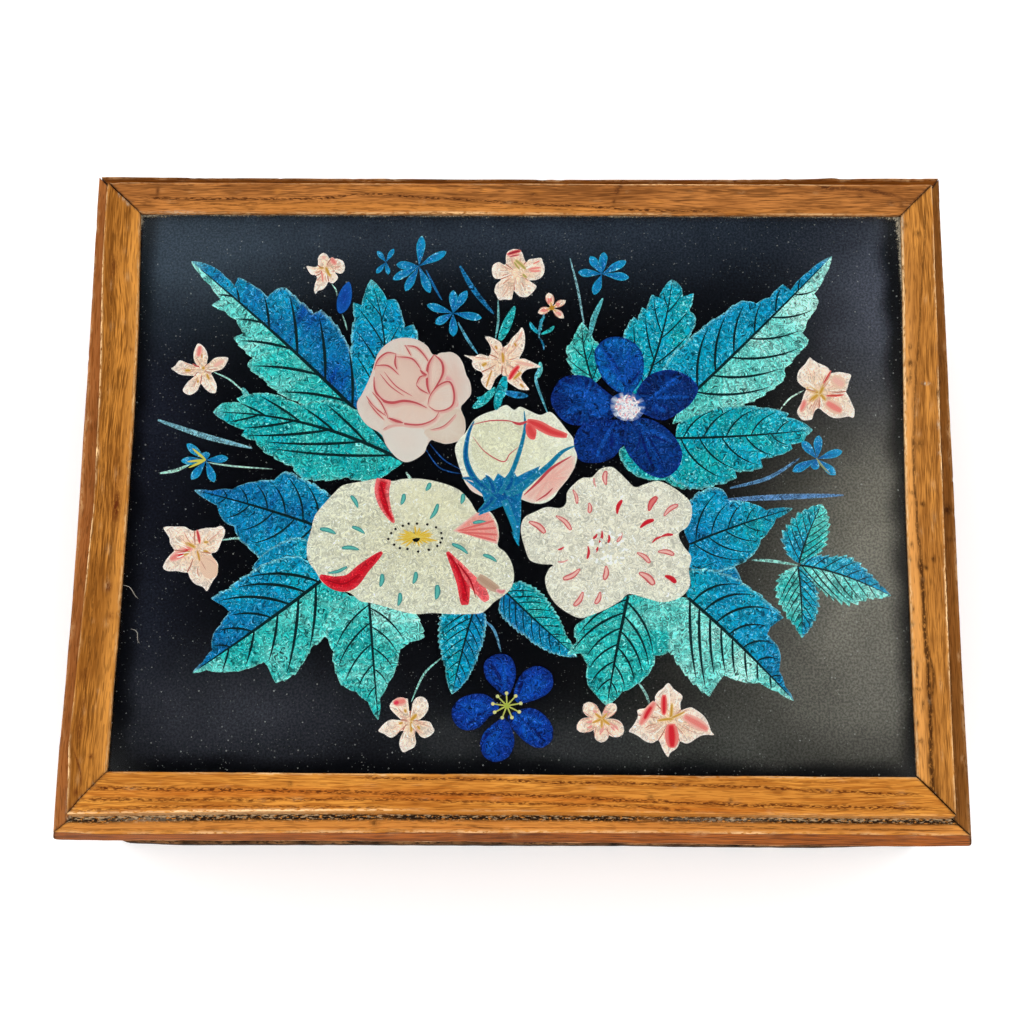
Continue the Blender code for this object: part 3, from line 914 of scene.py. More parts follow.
def makeWall(side):
    low, high = boxOf("box_wall_" + side)
    half = halves(side, outerOf("box_wall"))
    tall = high[2] - low[2]
    thick = min(high[:2] - low[:2])
    radius = bodyLook["edgeRadius"]
    corners = [(0, 0, radius), (0, tall, radius), (thick, tall, radius), (thick, 0, radius)]
    seed = bodyLook["seed"] + sideTurns[side] * 5

    def shape(path, along, inset):
        heights = path[:, 1]
        arris = nearness(path, [(0.2, 0.2), (0.2, tall - 0.2), (thick - 0.2, tall - 0.2)], 1.0)
        worn = np.clip(0.5 + 0.5 * ripple(along, heights, seed, 30.0, 20.0), 0, 1.2)
        dents = dentField(along, heights, int(seed), 26, half[0] - 10, [0.6, 20, 42, tall - 0.6], 1.6, 0.3)
        push = -bodyLook["wearDepth"] * arris * worn - dents * (inset < 0.4)
        push = push + 0.06 * ripple(along, heights, seed + 1, 70.0, 30.0)
        lines = [
            ([-half[0], rise, 0, rise + lift, half[0], rise - lift], 0.5, 0.5, 0.0)
            for rise, lift in bodyLook["lines"]
        ]
        dark, _ = lineFields(lines, along, heights + 0 * inset, seed)
        return push, {
            "wearAndHighlight": np.clip(arris * worn + dents * 0.8, 0, 1),
            # darker along the wall's outer foot, where it meets the base board
            "grimeAndShade": np.clip(0.5 * nearness(path, [(0, 0)], 3.0) * worn, 0, 1),
            "rings": dark * 0.8,
        }

    points, quads, caps, fields, uv = carryBar(
        side, roundedPath(corners, 4), lambda place: bodyLook["spacing"], half, low[2],
        (bodyLook["mitreGap"],) * 4, bodyLook["step"], shape
    )
    wall = makePiece(f"worn_{side}_wall", points, quads, bodyOak, caps, fields, uv=uv)
    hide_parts("box_wall_" + side)


def makeBase():
    # the bottom board: one rounded section carried from end to end and drawn in on an arc at both ends
    low, high = boxOf("box_base_board")
    halfX, halfY, tall = high[0], high[1], high[2] - low[2]
    radius = baseLook["radius"]
    corners = [(-halfY, 0, radius), (-halfY, tall, radius), (halfY, tall, radius), (halfY, 0, radius)]
    path = finePath(roundedPath(corners, 4), lambda place: 1.0 if abs(place[0]) > halfY - 3 else 4.0)
    x = np.linspace(-halfX, halfX, round(2 * halfX / baseLook["step"]))[:, None]
    end = np.clip((np.abs(x) - halfX + radius) / radius, 0, 1)
    drawn = radius * (1 - np.sqrt(1 - end ** 2))
    y = path[:, 0] * (1 - drawn / halfY)
    z = tall / 2 + (path[:, 1] - tall / 2) * (1 - 2 * drawn / tall)
    out = baseLook["narrow"] + readOff(baseLook["front"], x) + 0.04 * ripple(x, 0, 3, 12.0, 1.0)
    y = y + (halfY - out) * smoothStep(20 - halfY, -halfY, y)
    points = np.stack(np.broadcast_arrays(x, y, z + low[2]), axis=-1).reshape(-1, 3)
    edges = [(side * (halfY - 0.4), rise) for side in (-1, 1) for rise in (0.4, tall - 0.4)]
    worn = nearness(path, edges, 1.2) * (0.5 + 0.6 * ripple(x, path[:, 0], 4, 20.0, 30.0))
    # mottled near-black patches: painted shade and dirt
    stain = 0.25 + 1.2 * ripple(x, path[:, 0], 5, 9.0, 20.0)
    fields = {"wearAndHighlight": np.clip(worn, 0, 1), "stain": np.clip(stain, 0, 1)}
    uv = np.stack(np.broadcast_arrays(x + 1700, developed(path)), axis=-1).reshape(-1, 2)
    quads = gridFaces(len(x), len(path), closed=True)
    oak = makeOak("base_oak", baseLook)
    board = makePiece("worn_base_board", points * mm, quads, oak, endCaps(len(x), len(path)), fields, uv=uv)
    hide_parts("box_base_board")


bodyOak = makeOak("body_oak", bodyLook)
for side in sideTurns:
    makeWall(side)
makeBase()
print("box body made")


def dress(node, material):
    # a CAD solid that stays as it is takes the material
    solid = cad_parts[node]
    solid.data.materials.clear()
    solid.data.materials.append(material)


dress("lid_board", makeOak("bare_board", boardLook, "Object"))


# The pane, with the line of dust along the sight edge and two stray fibres lying on it

glassLook = {"roughness": 0.0, "ior": 1.5, "tint": (246, 250, 248)}
dustLook = {
    "colour": (168, 158, 136), "dark": (92, 84, 68), "step": 0.8, "lift": 0.02,
    # how far across the film each of its points lies, from under the sight edge to its inner rim
    "shares": (-0.6, 0.0, 0.2, 0.45, 0.7, 1.0),
}
fibreLook = {"radius": 0.07, "colour": (226, 220, 206), "dark": (150, 140, 124), "sides": 6}


def makeGlass():
    material, _, shader = newMaterial("clear_pane", glassLook["roughness"])
    shader["Base Color"].default_value = tone(glassLook["tint"])
    shader["Transmission Weight"].default_value = 1.0
    shader["IOR"].default_value = glassLook["ior"]
    return material


dress("picture_glass", makeGlass())
paneBottom, paneTop = (corner[2] for corner in boxOf("picture_glass"))


def makeDustLine():
    # a thin film against the sight edge all round, crumbled by noise; it is wide only in the far corners
    halfX, halfY = sightHalf
    corners = sightHalf * [(-1, -1), (1, -1), (1, 1), (-1, 1)]
    spots, inward = [], []
    for start, end in zip(corners, np.roll(corners, -1, axis=0)):
        count = round(np.linalg.norm(end - start) / dustLook["step"])
        run = (end - start) / np.linalg.norm(end - start)
        spots.append(start + (end - start) * ((np.arange(count) + 0.5) / count)[:, None])
        inward.append(np.broadcast_to((-run[1], run[0]), (count, 2)))
    spots, inward = np.concatenate(spots), np.concatenate(inward)
    x, y = spots.T
    far = smoothStep(halfY - 14, halfY - 2, y)
    corner = bell((np.abs(x) - halfX) / 9, (y - halfY) / 9)
    lee = smoothStep(0.45 * halfY, 0.92 * halfY, y) * smoothStep(halfX - 2, halfX, x)
    amount = 0.1 + 0.3 * far + 0.25 * corner + 0.85 * lee + 0.22 * ripple(x, y, 5, 22.0, 22.0)
    reach = 0.6 + 0.3 * far + 1.1 * corner + 0.9 * lee
    shares = np.array(dustLook["shares"])
    low = paneTop + dustLook["lift"]
    flat = spots[:, None] + inward[:, None] * (reach[:, None] * shares)[..., None]
    flat = np.stack(settle(flat[..., 0], flat[..., 1]), axis=-1)
    rise = np.broadcast_to(0.05 * (1 - np.abs(shares)) + 0.02, flat.shape[:2])
    upper = np.concatenate([flat, (low + rise)[..., None]], axis=-1)
    lower = np.concatenate([flat[:, ::-1], np.full((*flat.shape[:2], 1), low)], axis=-1)
    points = np.concatenate([upper, lower], axis=1)
    cover = np.clip(amount, 0.05, 1)[:, None] * (1 - np.clip(shares, 0, 1)) ** 1.2
    cover = np.concatenate([cover, 0 * cover], axis=1)
    count, sides = points.shape[:2]
    around = np.arange(sides)
    last = around + (count - 1) * sides
    join = np.stack([last, np.roll(last, -1), np.roll(around, -1), around], axis=1)
    quads = np.concatenate([gridFaces(count, sides, closed=True), join])
    material, tree, shader = newMaterial("sight_dust", 0.95)
    source = inMillimetres(tree)
    pale = mapRange(tree, noise(tree, source, 1.1, 3.0, 0.7), 0.35, 0.65)
    colour = mixColour(tree, pale, tone(dustLook["dark"]), tone(dustLook["colour"]))
    feed(tree, shader["Base Color"], colour)
    crumbs = calc(tree, "ADD", noise(tree, source, 1.9, 3.0, 0.7), times(tree, field(tree, "dusty"), 0.5))
    feed(tree, shader["Alpha"], mapRange(tree, crumbs, 0.66, 0.8))
    line = makePiece(
        "sight_dust_line", points.reshape(-1, 3) * mm, quads, material, fields={"dusty": cover}
    )


def makeFibre(name, start, end, sway):
    # a thin tube along a slow curve: the straight run between the ends plus a sine bend across it
    share = np.linspace(0, 1, 26)[:, None]
    run = np.subtract(end, start)
    across = np.array([-run[1], run[0]]) / np.linalg.norm(run)
    path = start + run * share + across * sway * np.sin(share * math.pi * 1.6)
    path = np.column_stack([path, np.full(len(path), paneTop + fibreLook["radius"] * 1.2)])
    forward = np.gradient(path, axis=0)
    forward = forward / np.linalg.norm(forward, axis=1, keepdims=True)
    side = np.cross(forward, (0, 0, 1))
    sides = fibreLook["sides"]
    angle = np.linspace(0, math.tau, sides, endpoint=False)[None, :, None]
    ring = side[:, None] * np.cos(angle) + np.array([0, 0, 1]) * np.sin(angle)
    radius = fibreLook["radius"] * (1 - 0.7 * np.abs(2 * share - 1) ** 3)
    points = path[:, None] + ring * radius[:, None]
    material, tree, shader = newMaterial(name + "_lint", 0.8)
    cloud = noise(tree, inMillimetres(tree), 2.0)
    colour = mixColour(tree, cloud, tone(fibreLook["dark"]), tone(fibreLook["colour"]))
    feed(tree, shader["Base Color"], colour)
    quads = gridFaces(len(path), sides, closed=True)
    fibre = makePiece(name, points.reshape(-1, 3) * mm, quads, material, endCaps(len(path), sides))


makeDustLine()
makeFibre("stray_fibre_upper", (-132.0, -35.0), (-126.0, -39.0), 0.7)
makeFibre("stray_fibre_lower", (-128.4, -50.0), (-124.6, -54.2), 0.9)
print("pane dressed")


# The picture: crumpled foil in painted shapes over a black ground, all behind the pane.
# Shapes are placed in millimetres from the pane's centre, x to the right and y to the back.

pictureLook = {
    "groundDrop": 0.62, "firstLayer": 0.5, "layerRise": 0.028, "foldHeight": 0.04, "strokeDrop": 0.085,
    # glow is painted light: the picture's paint and foil give off a little light of their own
    "strokeRise": 0.0012, "cell": 0.5, "groundCell": 1.5, "groundThickness": 0.3, "glow": 0.3,
    "veinShare": 1.3,
    # the angle, the length and the share of each set of folds
    "folds": [(0.4, 2.9, 0.34), (1.3, 2.3, 0.26), (2.1, 3.4, 0.3), (2.8, 1.9, 0.22), (0.9, 5.6, 0.3)],
}
leafHues = {
    # screen colours along the hue scale, from pale mint to deep blue
    0.0: (168, 224, 216), 0.12: (106, 200, 194), 0.25: (38, 176, 172), 0.36: (4, 160, 168),
    0.48: (0, 152, 180),
    0.6: (0, 138, 180), 0.75: (0, 102, 158), 0.88: (0, 68, 150), 1.0: (0, 42, 118),
}
groundLook = {
    # the dust on the ground, as scale, share, radius and strength of each size of speck
    "black": (3, 3, 6), "dust": (226, 226, 220),
    "specks": [(0.4, 0.05, 0.12, 0.6), (0.9, 0.04, 0.26, 0.5), (1.9, 0.06, 0.4, 0.25)],
}
groundReflectionAndHaze = [
    # centre, half widths and screen colour of each soft patch of painted reflection and haze over the black
    (-126, 88, 40, 26, (70, 80, 94)), (-60, 100, 60, 20, (54, 61, 74)), (40, 100, 80, 22, (54, 62, 76)),
    (130, 66, 24, 38, (86, 88, 102)), (136, -14, 36, 36, (146, 138, 126)),
    (126, -62, 52, 36, (126, 120, 112)),
    (62, -90, 30, 16, (62, 62, 60)), (-92, -78, 46, 18, (60, 60, 68)), (-132, 22, 22, 34, (34, 36, 50)),
    (20, -88, 24, 10, (56, 56, 58)), (-22, -86, 12, 8, (50, 50, 52)), (-130, -44, 20, 26, (34, 36, 48)),
]


def foldRelief(x, y):
    # flat-sided folds: triangle waves in five directions, each bent by a slower wave
    total = 0.0
    for angle, length, share in pictureLook["folds"]:
        run = x * math.cos(angle) + y * math.sin(angle)
        cross = y * math.cos(angle) - x * math.sin(angle)
        turns = run / length + 0.7 * np.sin(cross / (length * 1.3) + angle * 9)
        turns = turns + 0.4 * np.sin(run / 7.0 + cross / 4.6)
        total = total + share * (4 * np.abs(turns - np.floor(turns) - 0.5) - 1)
    return total


def hueTones(hue):
    # the colour at each point of the hue scale, channel by channel
    stops = screenTones(list(leafHues.values()))
    return np.stack([np.interp(hue, list(leafHues), stops[:, channel]) for channel in range(3)], axis=-1)


def blend(first, second, share):
    # the colour that lies at the share of the way from the first to the second
    return first + (second - first) * np.asarray(share)[..., None]


def withAlpha(colours):
    # a row of red, green, blue and full cover for each point
    return np.insert(colours.reshape(-1, 3), 3, 1.0, axis=1)


sheets = {"leaves": [], "blooms": [], "strokes": []}


def addSheet(kind, flat, layer, colours, foil=1.0):
    # a grid of flat points laid on its layer, with the folds that every layer shares; with no layer it lies
    # above them all
    x, y = flat[..., 0], flat[..., 1]
    if layer is None:
        place = len(sheets[kind]) % 60 * pictureLook["strokeRise"]
        height = paneBottom - pictureLook["strokeDrop"] + place + 0 * x
    else:
        rise = pictureLook["foldHeight"] * foldRelief(x, y)
        height = paneBottom - pictureLook["firstLayer"] + layer * pictureLook["layerRise"] + rise
    points = np.stack([x, y, height], axis=-1)
    sheets[kind].append((points, np.broadcast_to(colours, points.shape), np.broadcast_to(foil, x.shape)))


def joinSheets(chosen, name, material):
    # every grid's points, faces and colours, one after another, made into one piece with its faces upwards
    points, quads, colours, foils = [], [], [], []
    start = 0
    for grid, colour, foil in chosen:
        faces = gridFaces(*grid.shape[:2])
        flat = grid.reshape(-1, 3)
        corners = flat[faces]
        first, second = corners[:, 2] - corners[:, 0], corners[:, 3] - corners[:, 1]
        area = first[:, 0] * second[:, 1] - first[:, 1] * second[:, 0]
        faces = np.where((area < 0)[:, None], faces[:, ::-1], faces)
        quads.append(faces[np.abs(area) > 1e-4] + start)
        points.append(flat)
        colours.append(withAlpha(colour))
        foils.append(foil.reshape(-1))
        start += len(flat)
    points, quads, colours, foils = (np.concatenate(part) for part in (points, quads, colours, foils))
    piece = makePiece(name, points * mm, quads, material, (), {"foil": foils}, colours, creases=False)
    print(name + ":", len(piece.data.polygons), "faces")


def joinHalves(kind, name, material):
    # the grids from left to right, parted where half of all points are behind
    ordered = sorted(sheets[kind], key=lambda sheet: sheet[0][..., 0].mean())
    points = np.cumsum([sheet[0].size for sheet in ordered])
    half = int(np.searchsorted(points, points[-1] / 2))
    joinSheets(ordered[:half], name + "_left", material)
    joinSheets(ordered[half:], name + "_right", material)


def bezier(start, middle, end, share):
    # the curve from start to end that leans towards the middle point
    share = np.asarray(share)[..., None]
    return start * (1 - share) ** 2 + 2 * middle * share * (1 - share) + end * share ** 2


def throughPoints(points, count, closed=False):
    # a smooth cubic through the points, at even shares of their number
    points = asPoints(points)
    number = len(points)
    place = np.linspace(0, number if closed else number - 1, count)
    index = np.minimum(place.astype(int), number - (0 if closed else 2))
    share = (place - index)[:, None]
    near = [index + step for step in (-1, 0, 1, 2)]
    near = np.mod(near, number) if closed else np.clip(near, 0, number - 1)
    before, start, end, after = points[near]
    bend = 2 * start + (end - before) * share + (2 * before - 5 * start + 4 * end - after) * share ** 2
    return 0.5 * (bend + (3 * start - before - 3 * end + after) * share ** 3)


def alongRuns(points, count, bulge):
    # even steps along straight runs, each run pushed aside in a low arc between its sharp ends
    points = asPoints(points)
    runs = np.diff(points, axis=0)
    ends = np.concatenate([[0], np.cumsum(np.linalg.norm(runs, axis=1))])
    share = np.linspace(0, ends[-1], count)
    index = np.clip(np.searchsorted(ends, share, side="right") - 1, 0, len(runs) - 1)
    local = ((share - ends[index]) / (ends[index + 1] - ends[index]))[:, None]
    aside = np.stack([-runs[:, 1], runs[:, 0]], axis=1)[index]
    return points[index] + runs[index] * local + aside * (bulge * 4 * local * (1 - local))


def direction(angle):
    # the step of length 1 at the angle, in degrees
    turn = np.radians(angle)
    return np.stack([np.cos(turn), np.sin(turn)], axis=-1)


def bent(start, end, aside=0.0):
    # three points from start to end, with the middle one pushed aside
    start, end = np.array(start), np.array(end)
    return [start, (start + end) / 2 + aside, end]


def leaning(ends, share):
    # a bent run between two points in a row, its middle pushed aside by a share of its length
    start, end = asPoints(ends)
    return bent(start, end, np.array([start[1] - end[1], end[0] - start[0]]) * share)


def addStroke(
    points, width, core, edge=None, taper=(0.2, 0.15), fullest=0.4, kind="strokes", layer=None, foil=0.0
):
    # a ribbon along the points; its half width rises from the first taper to full at one place and falls from
    # there to the second, as quarters of a sine and a cosine
    points = asPoints(points)
    length = np.linalg.norm(np.diff(points, axis=0), axis=1).sum()
    path = throughPoints(points, max(6, round(length / (0.8 if layer is None else 0.45))))
    share = np.linspace(0, 1, len(path))
    rising = np.sin(np.clip(share / fullest, 0, 1) * math.pi / 2)
    falling = np.cos(np.clip((share - fullest) / (1 - fullest), 0, 1) * math.pi / 2) ** 0.8
    rising, falling = taper[0] + (1 - taper[0]) * rising, taper[1] + (1 - taper[1]) * falling
    half = width / 2 * np.where(share < fullest, rising, falling)
    forward = np.gradient(path, axis=0)
    forward = forward / np.maximum(np.linalg.norm(forward, axis=1, keepdims=True), 1e-9)
    side = np.stack([-forward[:, 1], forward[:, 0]], axis=1)
    across = np.linspace(-1, 1, 7 if edge is not None else 3)
    flat = path[:, None] + side[:, None] * (half[:, None] * across)[..., None]
    colours = screenTones(core)
    if edge is not None:
        rim = smoothStep(0.3, 0.8, np.abs(across))[None, :] + 0 * half[:, None]
        rim = np.maximum(rim, smoothStep(0.75, 1.0, np.abs(2 * share - 1))[:, None])
        colours = blend(colours, screenTones(edge), rim)
    addSheet(kind, flat, layer, colours, foil)


def addDot(place, radius, core):
    # a round spot: a small ring of points drawn in to its centre
    ring = direction(np.linspace(0, 360, 10))
    flat = np.array(place) + ring[None] * (np.array(radius) * np.array([[0.02], [1.0]]))[:, None]
    addSheet("strokes", flat, None, screenTones(core), 0.0)


def addPatch(
    kind, centre, outline, layer, inner, outer, foil=1.0, streak=0.2, edge=None, seed=1, sharp=False
):
    # rays from the centre to the outline; tones run from inner to outer with brush streaks along the rays
    centre = np.array(centre, float)
    outline = asPoints(outline)
    loop = np.concatenate([outline, outline[:1]])
    length = np.linalg.norm(np.diff(loop, axis=0), axis=1).sum()
    count = max(16, round(length / pictureLook["cell"]))
    rim = alongRuns(loop, count, 0.0) if sharp else throughPoints(outline, count, True)
    reach = np.linalg.norm(rim - centre, axis=1)
    share = np.linspace(0.01, 1, max(4, round(reach.max() / pictureLook["cell"])))[:, None]
    flat = centre + (rim - centre)[None] * share[..., None]
    angle = np.arctan2(rim[:, 1] - centre[1], rim[:, 0] - centre[0])[None, :]
    brush = ripple(share * reach[None, :], angle * reach.mean(), seed, 24.0, 2.2, 12)
    colours = blend(screenTones(inner), screenTones(outer), np.clip(share ** 1.4 + streak * brush, 0, 1))
    if edge is not None:
        line = smoothStep(1 - 1.1 / reach.mean(), 1 - 0.3 / reach.mean(), share) + 0 * angle
        colours = blend(colours, screenTones(edge), line * 0.8)
    addSheet(kind, flat, layer, colours, foil)


def addPetal(centre, angle, length, half, layer, inner, outer, widest, point, streak, edge, seed):
    # along a straight midline the half width is a power of a sine whose crest lies at the widest place
    rows = max(10, round(length / pictureLook["cell"]))
    columns = max(6, round(2 * half / pictureLook["cell"]))
    share = np.linspace(0, 1, rows)[:, None]
    across = np.linspace(-1, 1, columns)[None, :]
    power = math.log(0.5) / math.log(widest)
    wide = half * np.sin(math.pi * np.clip(share, 1e-4, 1) ** power) ** point
    wobble = 1 + 0.08 * ripple(share * length, across * 3, seed + 5, 6.0, 3.0)
    along = length * share + 0 * across
    sideways = wide * across * wobble
    turn = math.radians(angle)
    x = centre[0] + along * math.cos(turn) - sideways * math.sin(turn)
    y = centre[1] + along * math.sin(turn) + sideways * math.cos(turn)
    brush = ripple(share * length, across * half, seed, 18.0, 1.6)
    colours = blend(screenTones(inner), screenTones(outer), np.clip(share ** 1.3 + streak * brush, 0, 1))
    rim = smoothStep(0.75, 0.98, np.abs(across)) + 0 * share
    rim = np.maximum(rim, smoothStep(0.92, 1.0, share) + 0 * across)
    addSheet("blooms", np.stack([x, y], axis=-1), layer, blend(colours, screenTones(edge), rim * 0.75))


# Leaves: a midrib by its base, middle and tip, and the outline of each side between base and tip. Points are
# written in a row as x, y, x, y
veinTone, leafRimTone = (4, 34, 36), (170, 226, 212)
leafLook = dict(curl=0.08, lean=1.1)
